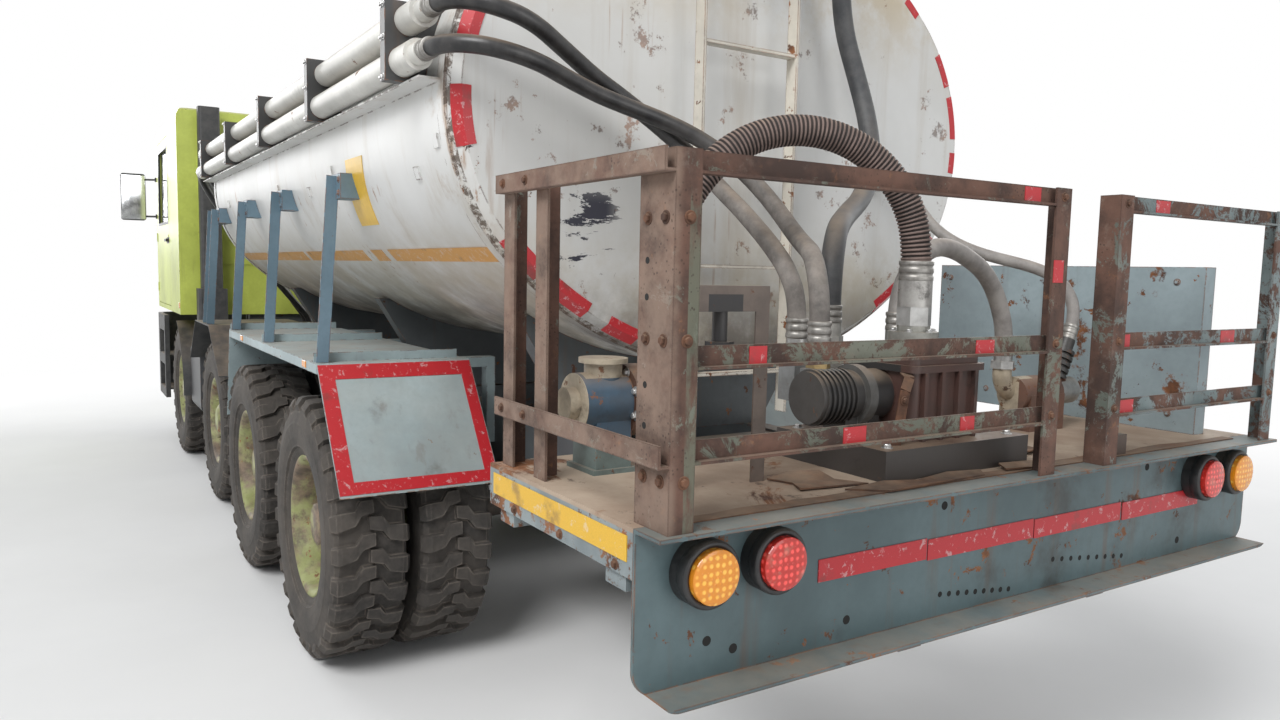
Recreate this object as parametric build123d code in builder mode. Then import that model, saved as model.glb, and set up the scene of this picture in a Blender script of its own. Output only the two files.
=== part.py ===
from build123d import *
import os
from math import cos, pi, radians, sin, sqrt, tan

os.makedirs("parts", exist_ok=True)

# A tanker truck on four axles: two steered ones and a driven tandem with twin tyres.
# Millimetres. +X forward, +Y left, +Z up. The origin is on the ground, midway along and across.
# A station is a distance forward of the rear face of the bumper; x_at() turns it into X.

# Layout along the vehicle, from the rear face to the front one
rear_overhang = 2680
tandem_spacing = 1400
middle_gap = 1670
steered_spacing = 1930
front_overhang = 1380
tandem_stations = (rear_overhang, rear_overhang + tandem_spacing)
steered_stations = (tandem_stations[1] + middle_gap + steered_spacing, tandem_stations[1] + middle_gap)
tandem_middle = sum(tandem_stations) / 2
overall_length = steered_stations[0] + front_overhang
rear_face = -overall_length / 2
sides = (1, -1)
hands = {1: "left", -1: "right"}

# Running fits and seats
pin_gap = 0.1
seat_gap = 0.3
door_gap = 6

# Tyres: a many-sided carcass with one lug on each facet, left and right in turn
tyre_radius = 562
tyre_width = 315
tyre_facets = 16
lug_height = 24
lug_root_width = 104
lug_tip_width = 76
lug_lean = 48
lug_overlap = 24
tread_width = 268
wall_crest_radius = 432
wall_foot_radius = 412
bead_radius = 290
bead_width = 216
twin_spacing = 356

# Wheels: rim barrel, two flanges, one disc and a hub with its drum
rim_wall = 12
flange_height = 14
flange_width = 12
flange_gap = 12
disc_wall = 14
hub_radius = 135
drum_radius = 205
hub_cap_radius = 88
hub_cap_reach = 95
steered_cap_reach = 125
steered_disc_offset = 60
twin_disc_offset = -62

# Axles
twin_outer_y = 1112
steered_y = 1040
kingpin_y = 880
kingpin_radius = 22
spindle_radius = 38
knuckle_height = 190
knuckle_depth = 70
knuckle_ear = 34
beam_height = 96
beam_depth = 84
axle_tube_radius = 62
differential_radius = 205
differential_width = 170
nose_reach = 300
nose_case_radius = 75
shaft_z = tyre_radius + 90

# Ladder frame
rail_bottom = tyre_radius + 218
rail_height = 270
rail_top = rail_bottom + rail_height
rail_outer_y = 430
rail_flange = 80
rail_wall = 9
rail_inner_y = rail_outer_y - rail_wall
bumper_depth = 95
nose_wall = 40

# Tank: a barrel of four tangent arcs with near-flat heads
tank_rear = 1260
tank_length = 4640
tank_front = tank_rear + tank_length
tank_half_width = 1130
tank_half_height = 870
tank_side_radius = 700
tank_clearance = 290
tank_centre_z = rail_top + tank_clearance + tank_half_height
tank_top = tank_centre_z + tank_half_height
head_dish = 46
head_inset = 34
seam_width = 60
seam_proud = 5

# Rear platform
deck_top = rail_top + 140
deck_half_width = 1200
deck_plate = 8
deck_end = 790
beam_drop = 105
beam_wall = 8
beam_foot = 50

# Cab
cab_length = 1870
nose_clearance = 130
cab_front = overall_length - nose_clearance
cab_rear = cab_front - cab_length
cab_half_width = 1240
cab_bottom = rail_top + 200
cab_height = 1730
cab_top = cab_bottom + cab_height
cab_wall = 60
cab_edge_radius = 150
cab_nose_radius = 130
glass_depth = 22
glass_wall = 8


def x_at(station):
    """X of a distance forward of the rear face."""
    return rear_face + station


def on_deck(station, y, height):
    """A point over the rear platform, by its height above the plate."""
    return (x_at(station), y, deck_top + height)


def span(side, near, far):
    """The Y range between two distances from the middle, on one side."""
    return tuple(sorted((side * near, side * far)))


def write(builder, name):
    builder.part.label = name
    export_step(builder.part, f"parts/{name}.step")


def block(x_range, y_range, z_range, mode=Mode.ADD):
    """A plain bar or plate between two corners."""
    size = [high - low for low, high in (x_range, y_range, z_range)]
    middle = [(high + low) / 2 for low, high in (x_range, y_range, z_range)]
    with Locations(tuple(middle)):
        Box(*size, mode=mode)


def around(centre, half):
    """The range of half a width each way."""
    return (centre - half, centre + half)


def side_profile(points, y_from, y_to, mode=Mode.ADD):
    """An outline of (station, height) points, extruded across the vehicle."""
    plane = Plane(origin=(0, y_from, 0), x_dir=(1, 0, 0), z_dir=(0, -1, 0))
    with BuildSketch(plane) as outline:
        Polygon(*[(x_at(station), height) for station, height in points], align=None)
    extrude(outline.sketch, amount=y_from - y_to, mode=mode)


def rod(start, end, radius, mode=Mode.ADD, facets=0):
    """A round or many-sided bar from start to end."""
    along = Vector(*end) - Vector(*start)
    with BuildSketch(Plane(origin=start, z_dir=along)) as section:
        if facets:
            RegularPolygon(radius, facets)
        else:
            Circle(radius)
    extrude(section.sketch, amount=along.length, mode=mode)


def stack(station, y, rows):
    """Fittings on one upright axis. Rows are foot and top above the deck, radius, facets."""
    for foot, top, radius, facets in rows:
        rod(on_deck(station, y, foot), on_deck(station, y, top), radius, facets=facets)


def angle_bar(start, end, leg_a, leg_b, wall, leg_dir):
    """A rolled angle from start to end. Its first leg lies along leg_dir."""
    along = Vector(*end) - Vector(*start)
    with BuildSketch(Plane(origin=start, x_dir=leg_dir, z_dir=along)) as section:
        Polygon((0, 0), (leg_a, 0), (leg_a, wall), (wall, wall), (wall, leg_b), (0, leg_b), align=None)
    extrude(section.sketch, amount=along.length)


def hose_node(name, radius, points):
    """A hose in a node of its own: straight runs joined by arcs as large as the runs allow."""
    corners = [Vector(*point) for point in points]
    radii = []
    for before, corner, after in zip(corners, corners[1:], corners[2:]):
        run_in = corner - before
        run_out = after - corner
        half_turn = radians(run_in.get_angle(run_out)) / 2
        radii.append(0.45 * min(run_in.length, run_out.length) / tan(half_turn))
    with BuildPart() as tube:
        with BuildLine() as route:
            FilletPolyline(*corners, radius=radii)
        with BuildSketch(Plane(origin=corners[0], z_dir=corners[1] - corners[0])) as section:
            Circle(radius)
        sweep(section.sketch, path=route.wires()[0])
    length = route.wires()[0].length
    ratio = tube.part.volume / (pi * radius**2 * length)
    print(name, "length", round(length), "smallest bend radius", round(min(radii)), "volume ratio", round(ratio, 4))
    write(tube, name)


def tank_slice(rear, front, grow=0, mode=Mode.ADD):
    """The tank's section of four tangent arcs, grown outward, between two stations."""
    crown_radius = (tank_half_width**2 + tank_half_height**2 - 2 * tank_half_width * tank_side_radius) / (
        2 * (tank_half_height - tank_side_radius)
    )
    reach = (tank_side_radius + grow) / (crown_radius - tank_side_radius)
    join_y = (tank_half_width - tank_side_radius) * (1 + reach)
    join_z = (crown_radius - tank_half_height) * reach
    half_width = tank_half_width + grow
    half_height = tank_half_height + grow
    plane = Plane(origin=(x_at(rear), 0, tank_centre_z), x_dir=(0, 1, 0), z_dir=(1, 0, 0))
    with BuildSketch(plane) as section:
        with BuildLine():
            ThreePointArc((join_y, -join_z), (half_width, 0), (join_y, join_z))
            ThreePointArc((join_y, join_z), (0, half_height), (-join_y, join_z))
            ThreePointArc((-join_y, join_z), (-half_width, 0), (-join_y, -join_z))
            ThreePointArc((-join_y, -join_z), (0, -half_height), (join_y, -join_z))
        make_face()
    extrude(section.sketch, amount=front - rear, mode=mode)


def flank_y(z):
    """The tank's half width at a height near its middle."""
    return tank_half_width - tank_side_radius + sqrt(tank_side_radius**2 - (z - tank_centre_z) ** 2)


# Tyre

def axle_plane(y):
    return Plane(origin=(0, y, 0), x_dir=(1, 0, 0), z_dir=(0, 1, 0))


def polygon_ring(y_from, y_to, outer, inner=0):
    """A many-sided disc or ring about the wheel's axis."""
    with BuildSketch(axle_plane(y_from)) as section:
        RegularPolygon(outer, tyre_facets)
        if inner:
            RegularPolygon(inner, tyre_facets, mode=Mode.SUBTRACT)
    extrude(section.sketch, amount=y_to - y_from)


facet_angle = 360 / tyre_facets
flatness = cos(radians(facet_angle / 2))
# Two lugs stand on the ground by their corners, so their faces lie inside the tyre's radius
lug_corner = (lug_root_width + lug_lean) / 2
lug_face = (tyre_radius - lug_corner * sin(radians(facet_angle / 2))) / flatness
carcass_radius = (lug_face - lug_height) / flatness
bore_radius = bead_radius - rim_wall / 2
shoulder_drop = (carcass_radius - wall_crest_radius) * flatness
dish_rise = (wall_foot_radius - bore_radius) * flatness

# A ring with its shoulders and its bead dishes chamfered off, then the lugs
with BuildPart() as tyre:
    polygon_ring(-tyre_width / 2, tyre_width / 2, carcass_radius, bore_radius)
    for end in (0, -1):
        wall = tyre.faces().filter_by(Axis.Y).sort_by(Axis.Y)[end]
        chamfer(wall.outer_wire().edges(), shoulder_drop, (tyre_width - tread_width) / 2, reference=wall)
        wall = tyre.faces().filter_by(Axis.Y).sort_by(Axis.Y)[end]
        chamfer(wall.inner_wires()[0].edges(), dish_rise, (tyre_width - bead_width) / 2, reference=wall)
    for facet in range(tyre_facets):
        angle = radians((facet + 0.5) * facet_angle)
        hand = 1 if facet % 2 else -1
        outward = Vector(cos(angle), 0, sin(angle))
        root = outward * (lug_face - lug_height)
        with BuildSketch(Plane(origin=root, x_dir=(0, hand, 0), z_dir=outward)):
            Polygon(
                (-lug_overlap, (lug_lean - lug_root_width) / 2),
                (tread_width / 2, -(lug_tip_width + lug_lean) / 2),
                (tread_width / 2, (lug_tip_width - lug_lean) / 2),
                (-lug_overlap, lug_corner),
                align=None,
            )
        extrude(amount=lug_height)

# Rims: the barrel fills the tyre's bore, the flanges stand in its dishes
rim_corner = bore_radius - seat_gap
flange_face = bead_width / 2 + flange_gap
barrel_reach = flange_face + flange_width


def rim_shell(disc_y):
    """Barrel, flanges and disc of one wheel, about its own centre plane."""
    polygon_ring(-barrel_reach, barrel_reach, rim_corner, rim_corner - rim_wall)
    for side in sides:
        inner_face, outer_face = span(side, flange_face, barrel_reach)
        polygon_ring(inner_face, outer_face, bead_radius + flange_height, rim_corner - rim_wall)
    polygon_ring(disc_y - disc_wall / 2, disc_y + disc_wall / 2, rim_corner - rim_wall / 2)


# Steered wheel: the disc stands out, the hub turns on the knuckle's spindle
steered_hub_inner = -60
with BuildPart() as steered_rim:
    rim_shell(steered_disc_offset)
    polygon_ring(steered_hub_inner, steered_disc_offset, hub_radius)
    polygon_ring(steered_disc_offset, steered_cap_reach, hub_cap_radius)
    rod((0, steered_hub_inner - 1, 0), (0, steered_disc_offset, 0), spindle_radius + pin_gap, Mode.SUBTRACT)

# Twin wheel: the outer disc is dished, both rims and the drum turn on the axle's end
drum_reach = 90
twin_boss_reach = 40
twin_hub_inner = -twin_spacing - drum_reach
inner_disc = -twin_spacing - twin_disc_offset
with BuildPart() as twin_rim:
    rim_shell(twin_disc_offset)
    polygon_ring(twin_disc_offset, twin_boss_reach, hub_radius)
    polygon_ring(twin_boss_reach, hub_cap_reach, hub_cap_radius)
    polygon_ring(-twin_spacing - barrel_reach, -twin_spacing + barrel_reach, rim_corner, rim_corner - rim_wall)
    polygon_ring(inner_disc - disc_wall / 2, inner_disc + disc_wall / 2, rim_corner - rim_wall / 2)
    polygon_ring(twin_hub_inner, inner_disc, drum_radius)
    polygon_ring(inner_disc, twin_disc_offset, hub_radius)
    rod((0, twin_hub_inner - 1, 0), (0, 0, 0), axle_tube_radius + pin_gap, Mode.SUBTRACT)

# Steered knuckle: a fork about the beam's end, its kingpin and the spindle
spindle_end = steered_disc_offset - 8
kingpin_offset = steered_y - kingpin_y
fork_plate = steered_hub_inner - 18
fork_wall = 26
fork_back = -46
with BuildPart() as knuckle:
    block(
        around(0, knuckle_depth / 2), (fork_plate - fork_wall, fork_plate), around(0, knuckle_height / 2),
    )
    for end in sides:
        ear = span(end, knuckle_height / 2 - knuckle_ear, knuckle_height / 2)
        block(around(0, knuckle_depth / 2), (fork_back - kingpin_offset, fork_plate), ear)
    rod((0, -kingpin_offset, -knuckle_height / 2), (0, -kingpin_offset, knuckle_height / 2), kingpin_radius)
    rod((0, fork_plate - 1, 0), (0, spindle_end, 0), spindle_radius)

# Wheel places: name, station, side, for the steered pairs and the twin sets
steered_wheels = [
    (f"{end}_{hands[side]}", station, side)
    for end, station in zip(("front", "second"), steered_stations)
    for side in sides
]
twin_wheels = [
    (f"{end}_{hands[side]}", station, side)
    for end, station in zip(("rear", "third"), tandem_stations)
    for side in sides
]

for name, station, side in steered_wheels:
    turned = (0, 0, 0) if side > 0 else (0, 0, 180)
    centre = (x_at(station), side * steered_y, tyre_radius)
    for what, source in (("tyre", tyre), ("rim", steered_rim), ("knuckle", knuckle)):
        with BuildPart() as piece:
            with Locations(Location(centre, turned)):
                add(source.part)
        write(piece, f"{what}_{name}")

for name, station, side in twin_wheels:
    turned = (0, 0, 0) if side > 0 else (0, 0, 180)
    outer = Location((x_at(station), side * twin_outer_y, tyre_radius), turned)
    inner = Location((x_at(station), side * (twin_outer_y - twin_spacing), tyre_radius), turned)
    with BuildPart() as piece:
        with Locations(outer, inner):
            add(tyre.part)
    write(piece, f"tyre_{name}")
    with BuildPart() as piece:
        with Locations(outer):
            add(twin_rim.part)
    write(piece, f"rim_{name}")

# Front axle beams, with the kingpin eyes, and the tandem's driven axles
eye_half = knuckle_height / 2 - knuckle_ear - 2
eye_radius = 42
eye_neck = (20, 70)
spring_y = 420
spring_width = 80
beam_top = tyre_radius + beam_height / 2
axle_pad_height = 50
axle_pad_top = tyre_radius + axle_tube_radius + axle_pad_height
rear_spring_y = 490
axle_end_y = twin_outer_y - 6

with BuildPart() as axles:
    for station in steered_stations:
        x = x_at(station)
        block(around(x, beam_depth / 2), around(0, kingpin_y - 60), around(tyre_radius, beam_height / 2))
        for side in sides:
            y = side * kingpin_y
            rod((x, y, tyre_radius - eye_half), (x, y, tyre_radius + eye_half), eye_radius)
            neck = span(side, kingpin_y - eye_neck[1], kingpin_y - eye_neck[0])
            block(around(x, 30), neck, around(tyre_radius, eye_half))
            rod(
                (x, y, tyre_radius - knuckle_height), (x, y, tyre_radius + knuckle_height),
                kingpin_radius + pin_gap, Mode.SUBTRACT,
            )
    for station in tandem_stations:
        x = x_at(station)
        rod((x, -axle_end_y, tyre_radius), (x, axle_end_y, tyre_radius), axle_tube_radius)
        case_z = tyre_radius + 20
        case_half = differential_width / 2
        rod((x - case_half, 0, case_z), (x + case_half, 0, case_z), differential_radius)
        rod((x, 0, shaft_z), (x + nose_reach, 0, shaft_z), nose_case_radius)
        for side in sides:
            block(around(x, 55), around(side * rear_spring_y, 45), (tyre_radius, axle_pad_top))
write(axles, "axles")

# Leaf springs: steered packs hang under the rails, the tandem's rest on a trunnion
leaf_wall = 14
leaf_nip = 0.5
leaf_step = 0.17
steered_leaf_half = 720
steered_leaves = 5
camber = 62
pad_height = 12
hanger_half = 30
tandem_leaf_half = tandem_spacing / 2 + 60
tandem_leaves = 6
tandem_leaf_wall = 20
tandem_leaf_step = 0.16
trunnion_z = tyre_radius - 40
trunnion_radius = 48
trunnion_hanger = (20, 60)

with BuildPart() as springs:
    for station in steered_stations:
        x = x_at(station)
        for side in sides:
            near = side * spring_y - spring_width / 2
            plane = Plane(origin=(x, near, 0), x_dir=(1, 0, 0), z_dir=(0, -1, 0))
            with BuildSketch(plane) as pack:
                for leaf in range(steered_leaves):
                    half = steered_leaf_half * (1 - leaf_step * leaf)
                    foot = beam_top + pad_height + leaf_wall * (steered_leaves - 1 - leaf)
                    head = foot + leaf_wall + leaf_nip
                    rise = camber * (half / steered_leaf_half) ** 2
                    with BuildLine():
                        ThreePointArc((-half, foot + rise), (0, foot), (half, foot + rise))
                        Line((half, foot + rise), (half, head + rise))
                        ThreePointArc((half, head + rise), (0, head), (-half, head + rise))
                        Line((-half, head + rise), (-half, foot + rise))
                    make_face()
            extrude(pack.sketch, amount=-spring_width)
            width = (near, near + spring_width)
            block(around(x, 60), width, (beam_top, beam_top + pad_height + 8))
            eye_z = beam_top + pad_height + leaf_wall * (steered_leaves - 1) + camber - 12
            for end in sides:
                block(around(x + end * steered_leaf_half, hanger_half), width, (eye_z, rail_bottom))
    middle_x = x_at(tandem_middle)
    for side in sides:
        width = around(side * rear_spring_y, spring_width / 2)
        for leaf in range(tandem_leaves):
            half = tandem_leaf_half * (1 - tandem_leaf_step * leaf)
            top = axle_pad_top + tandem_leaf_wall * (1 - leaf)
            block(around(middle_x, half), width, (top - tandem_leaf_wall, top))
        pack_foot = axle_pad_top + tandem_leaf_wall * (1 - tandem_leaves)
        block(around(middle_x, 80), width, (trunnion_z, pack_foot))
        hanger = span(side, rail_outer_y - trunnion_hanger[1], rail_outer_y - trunnion_hanger[0])
        block(around(middle_x, 120), hanger, (trunnion_z - 60, rail_bottom))
    trunnion_y = rear_spring_y + 50
    rod((middle_x, -trunnion_y, trunnion_z), (middle_x, trunnion_y, trunnion_z), trunnion_radius)
write(springs, "leaf_springs")

# Chassis: two channel rails, cross members, tank saddles, cab mounts and towing eyes
rail_front = overall_length - nose_wall
cross_members = (
    bumper_depth + 105, tank_rear + 240, tandem_middle, tank_front - 900, cab_rear - 680, overall_length - 310,
)
member_half = 35
member_drop = 130
saddle_stations = (tank_rear + 460, tandem_middle, tank_front - 540)
saddle_wall = 90
saddle_half_width = 720
saddle_reach = 180
cab_mount_station = cab_rear + 90
cab_mount_half = 40
cab_mount_y = 700
tilt_station = cab_front - 25
tilt_z = cab_bottom - 35
tilt_pin_radius = 18
tilt_boss_radius = 26
tilt_ear_radius = 24
tilt_ear_y = 392
tilt_ear_wall = 26
tow_eye_radius = 22
tow_plate = 30
tow_drop = 100
tow_station = overall_length - 150
stub_y = rail_outer_y - 40
stub_height = 60
stub_radius = 32
front_stubs = (tank_front + 500, tank_front + 350)

with BuildPart() as chassis:
    for side in sides:
        with BuildSketch(Plane(origin=(x_at(bumper_depth), 0, 0), x_dir=(0, side, 0), z_dir=(1, 0, 0))) as channel:
            lip = rail_outer_y - rail_flange
            outline = [
                (lip, rail_bottom), (rail_outer_y, rail_bottom), (rail_outer_y, rail_top), (lip, rail_top),
                (lip, rail_top - rail_wall), (rail_inner_y, rail_top - rail_wall),
                (rail_inner_y, rail_bottom + rail_wall), (lip, rail_bottom + rail_wall),
            ]
            Polygon(*[(y, side * z) for y, z in outline], align=None)
        extrude(channel.sketch, amount=rail_front - bumper_depth)
    for station in cross_members:
        member_z = (rail_top - member_drop, rail_top - rail_wall)
        block(around(x_at(station), member_half), around(0, rail_inner_y), member_z)
    for station in saddle_stations:
        rear_x = x_at(station) - saddle_wall / 2
        with BuildSketch(Plane(origin=(rear_x, 0, rail_top), x_dir=(0, 1, 0), z_dir=(1, 0, 0))) as saddle:
            Polygon(
                (-rail_outer_y, 0), (rail_outer_y, 0), (saddle_half_width, tank_clearance + saddle_reach),
                (-saddle_half_width, tank_clearance + saddle_reach), align=None,
            )
        extrude(saddle.sketch, amount=saddle_wall)
    tank_slice(tank_rear, tank_front, seat_gap, Mode.SUBTRACT)
    mount_x = around(x_at(cab_mount_station), cab_mount_half)
    tilt_x = x_at(tilt_station)
    for side in sides:
        block(mount_x, span(side, rail_outer_y - rail_flange, rail_outer_y), (rail_top, cab_bottom - 60))
        boss_y = tilt_ear_y + tilt_ear_wall / 2 + 2
        block(around(tilt_x, tilt_boss_radius), span(side, boss_y, rail_outer_y), (rail_top, tilt_z))
        rod((tilt_x, side * boss_y, tilt_z), (tilt_x, side * rail_outer_y, tilt_z), tilt_boss_radius)
        pin_start = (tilt_x, side * (tilt_ear_y - 24), tilt_z)
        rod(pin_start, (tilt_x, side * (rail_outer_y - 2), tilt_z), tilt_pin_radius)
    block(mount_x, around(0, cab_mount_y), (cab_bottom - 80, cab_bottom - seat_gap))
    for station in front_stubs:
        rod((x_at(station), stub_y, rail_top), (x_at(station), stub_y, rail_top + stub_height), stub_radius)
    tow_x = x_at(tow_station)
    for side in sides:
        plate = span(side, rail_outer_y - tow_plate, rail_outer_y)
        block(around(tow_x, 55), plate, (rail_bottom - tow_drop, rail_bottom))
        eye_z = rail_bottom - tow_drop / 2
        rod((tow_x, plate[0] - 1, eye_z), (tow_x, plate[1] + 1, eye_z), tow_eye_radius, Mode.SUBTRACT)
write(chassis, "chassis_frame")

# Engine, gearbox and radiator as plain masses, and the shafts to the tandem
engine_rear = cab_rear + 90
engine_front = cab_front - 510
engine_half_width = 310
engine_bottom = tyre_radius + 120
engine_top = cab_bottom - 110
engine_middle_z = tyre_radius + 300
bell_size = (460, 420)
gearbox_rear = cab_rear - 600
gearbox_size = (280, 280)
gearbox_z = tyre_radius + 260
radiator_rear = engine_front + 80
radiator_depth = 100
radiator_half_width = 330
engine_mounts = ((engine_rear + 200, 50), (engine_front - 200, 50), (radiator_rear + radiator_depth / 2, 30))
mount_z = (rail_bottom + 60, rail_bottom + 120)
shaft_radius = 48
shaft_flange = 30
with BuildPart() as drive:
    block((x_at(engine_rear), x_at(engine_front)), around(0, engine_half_width), (engine_bottom, engine_top))
    with BuildSketch(Plane(origin=(x_at(engine_rear), 0, engine_middle_z), x_dir=(0, 1, 0), z_dir=(-1, 0, 0))):
        Rectangle(*bell_size)
    with BuildSketch(Plane(origin=(x_at(gearbox_rear), 0, gearbox_z), x_dir=(0, 1, 0), z_dir=(-1, 0, 0))):
        Rectangle(*gearbox_size)
    loft(ruled=True)
    for station, half in engine_mounts:
        block(around(x_at(station), half), around(0, rail_inner_y), mount_z)
    block(
        (x_at(radiator_rear), x_at(radiator_rear + radiator_depth)), around(0, radiator_half_width),
        (engine_bottom + 30, engine_top),
    )
    flange_x = x_at(tandem_stations[1] + nose_reach)
    rod((flange_x, 0, shaft_z), (flange_x + shaft_flange, 0, shaft_z), nose_case_radius)
    rod((flange_x + shaft_flange - 5, 0, shaft_z), (x_at(gearbox_rear), 0, gearbox_z), shaft_radius)
    rod(
        (x_at(tandem_stations[0] + nose_reach), 0, shaft_z),
        (x_at(tandem_stations[1]) - differential_width / 2, 0, shaft_z), shaft_radius,
    )
write(drive, "engine_and_shafts")

# Diesel tank on the left and battery box on the right, on brackets from the rails
side_box_gap = 690
side_box_rear = steered_stations[1] + side_box_gap
side_box_front = steered_stations[0] - side_box_gap
side_box_inner_y = 560
side_box_outer_y = 1180
side_box_bottom = 500
side_box_top = rail_top - 15
side_box_radius = 70
side_box_strap = 50
with BuildPart() as side_boxes:
    for side in sides:
        block(
            (x_at(side_box_rear), x_at(side_box_front)), span(side, side_box_inner_y, side_box_outer_y),
            (side_box_bottom, side_box_top),
        )
    fillet(side_boxes.edges().filter_by(Axis.X), side_box_radius)
    for side in sides:
        for station in (side_box_rear + 80, side_box_front - 80 - side_box_strap):
            block(
                (x_at(station), x_at(station + side_box_strap)), span(side, rail_outer_y, side_box_inner_y + 40),
                (rail_bottom + 20, rail_top - 20),
            )
write(side_boxes, "side_boxes")

# Tank, with its seam bands, manhole collar, hinge ears, two hose ports and the ledge under the side pipes
manhole_station = tank_rear + 2140
manhole_radius = 270
collar_height = 110
lid_wall = 26
collar_top = tank_top + collar_height
lid_hinge_station = manhole_station - manhole_radius - 45
lid_hinge_z = collar_top + lid_wall / 2
lid_pin_radius = 10
lid_knuckle_radius = 22
lid_ears = (62, 92)
lid_knuckle_half = 56
roof_port_y = -200
roof_port_height = 75
roof_port_radius = 36
outlet_port_y = -620
outlet_port_z = deck_top + 860
outlet_port_reach = 60
pipe_radius = 46
pipe_rear = tank_rear + 80
pipe_front = tank_front - 20
pipes = (
    (tank_half_width + 52, tank_centre_z + 230),
    (tank_half_width + 70, tank_centre_z + 104),
)
clamp_low_z = pipes[1][1] - pipe_radius - 14
clamp_high_z = pipes[0][1] + pipe_radius + 10
ledge_wall = 6
with BuildPart() as tank:
    tank_slice(tank_rear, tank_front)
    for end in (0, -1):
        head = tank.faces().filter_by(Axis.X).sort_by(Axis.X)[end]
        chamfer(head.edges(), head_inset, head_dish, reference=head)
    for seam in (tank_rear + head_dish, tank_front - head_dish - seam_width):
        tank_slice(seam, seam + seam_width, seam_proud)
    rod(
        (x_at(manhole_station), 0, tank_top - 60), (x_at(manhole_station), 0, collar_top - seat_gap), manhole_radius,
    )
    hinge_x = x_at(lid_hinge_station)
    for side in sides:
        ear = span(side, *lid_ears)
        block((hinge_x - 22, hinge_x + 60), ear, (tank_top - 40, collar_top - 8))
        block(around(hinge_x, 22), ear, (tank_top - 40, lid_hinge_z + 22))
    rod((hinge_x, -lid_ears[1], lid_hinge_z), (hinge_x, lid_ears[1], lid_hinge_z), lid_pin_radius)
    port_z = tank_top + roof_port_height
    port_x = x_at(tank_rear + 190)
    rod((port_x, roof_port_y, tank_top - 80), (port_x, roof_port_y, port_z + roof_port_radius), roof_port_radius + 6)
    rod((port_x, roof_port_y, port_z), (port_x - 50, roof_port_y, port_z), roof_port_radius)
    rod(
        (x_at(tank_rear + 5), outlet_port_y, outlet_port_z),
        (x_at(tank_rear - outlet_port_reach), outlet_port_y, outlet_port_z), 32,
    )
    block(
        (x_at(pipe_rear), x_at(pipe_front)), (flank_y(clamp_low_z) - 20, pipes[1][0]),
        (clamp_low_z - ledge_wall, clamp_low_z),
    )
write(tank, "tank")

handle_half = 70
handle_bar = 8
with BuildPart() as lid:
    rod((x_at(manhole_station), 0, collar_top), (x_at(manhole_station), 0, collar_top + lid_wall), manhole_radius + 14)
    block(
        (hinge_x - 6, x_at(manhole_station - manhole_radius)), around(0, lid_knuckle_half),
        (collar_top, collar_top + lid_wall),
    )
    rod((hinge_x, -lid_knuckle_half, lid_hinge_z), (hinge_x, lid_knuckle_half, lid_hinge_z), lid_knuckle_radius)
    rod(
        (hinge_x, -lid_ears[0], lid_hinge_z), (hinge_x, lid_ears[0], lid_hinge_z), lid_pin_radius + pin_gap,
        Mode.SUBTRACT,
    )
    handle_x = around(x_at(manhole_station + manhole_radius) - 70, handle_bar)
    for end in sides:
        foot = span(end, handle_half - 10, handle_half)
        block(handle_x, foot, (collar_top + lid_wall - 4, collar_top + lid_wall + 44))
    block(handle_x, around(0, handle_half), (collar_top + lid_wall + 34, collar_top + lid_wall + 48))
write(lid, "manhole_lid")

# Side pipes on the left flank, with a coupling at each end, and the clamps that hold them
coupling_reach = 55
coupling_radius = 34
clamp_pitch = 1010
clamp_count = 5
clamp_wall = 46
with BuildPart() as side_pipes:
    for y, z in pipes:
        rod((x_at(pipe_rear), y, z), (x_at(pipe_front), y, z), pipe_radius)
        rod((x_at(pipe_rear - coupling_reach), y, z), (x_at(pipe_front + coupling_reach), y, z), coupling_radius)
write(side_pipes, "side_pipes")

with BuildPart() as clamps:
    for clamp in range(clamp_count):
        block(
            around(x_at(pipe_rear + 160 + clamp * clamp_pitch), clamp_wall / 2),
            (flank_y(clamp_high_z) - 20, pipes[1][0] + pipe_radius + 12), (clamp_low_z, clamp_high_z),
        )
    for y, z in pipes:
        rod((x_at(pipe_rear), y, z), (x_at(pipe_front), y, z), pipe_radius + seat_gap, Mode.SUBTRACT)
    tank_slice(tank_rear, tank_front, seat_gap, Mode.SUBTRACT)
write(clamps, "pipe_clamps")

# Ladder on the rear head
ladder_station = tank_rear - 96
ladder_rails = (-100, 300)
ladder_rail_half = (25, 5)
ladder_brackets = (tank_centre_z - 420, tank_centre_z + 560)
rung_pitch = 370
rung_first = deck_top + 150
rung_count = 5
rung_half = (20, 6)
ladder_top = tank_top + 110
with BuildPart() as ladder:
    x = x_at(ladder_station)
    for y in ladder_rails:
        block(around(x, ladder_rail_half[0]), around(y, ladder_rail_half[1]), (deck_top, ladder_top))
        for z in ladder_brackets:
            block((x, x_at(tank_rear)), around(y, ladder_rail_half[1]), around(z, 20))
    for rung in range(rung_count):
        z = rung_first + rung * rung_pitch
        block(around(x, rung_half[0]), ladder_rails, around(z, rung_half[1]))
write(ladder, "ladder")

# Tandem fenders: a folded plate each side with a turned-down lip and brackets to the rails
fender_wall = 5
fender_inner_y = 600
fender_outer_y = 1250
fender_lip = 42
fender_top = rail_top + 240
fender_slope = 340
fender_front_run = 150
fender_line = (
    (tandem_stations[0] - 600, tyre_radius + 248),
    (tandem_stations[0] - 600 + fender_slope, fender_top),
    (tandem_stations[1] + 470, fender_top),
    (tandem_stations[1] + 470 + fender_front_run, tyre_radius + 198),
)
fender_brackets = (tandem_stations[0] - 120, tandem_middle + 260, tandem_stations[1] + 340)

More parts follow.
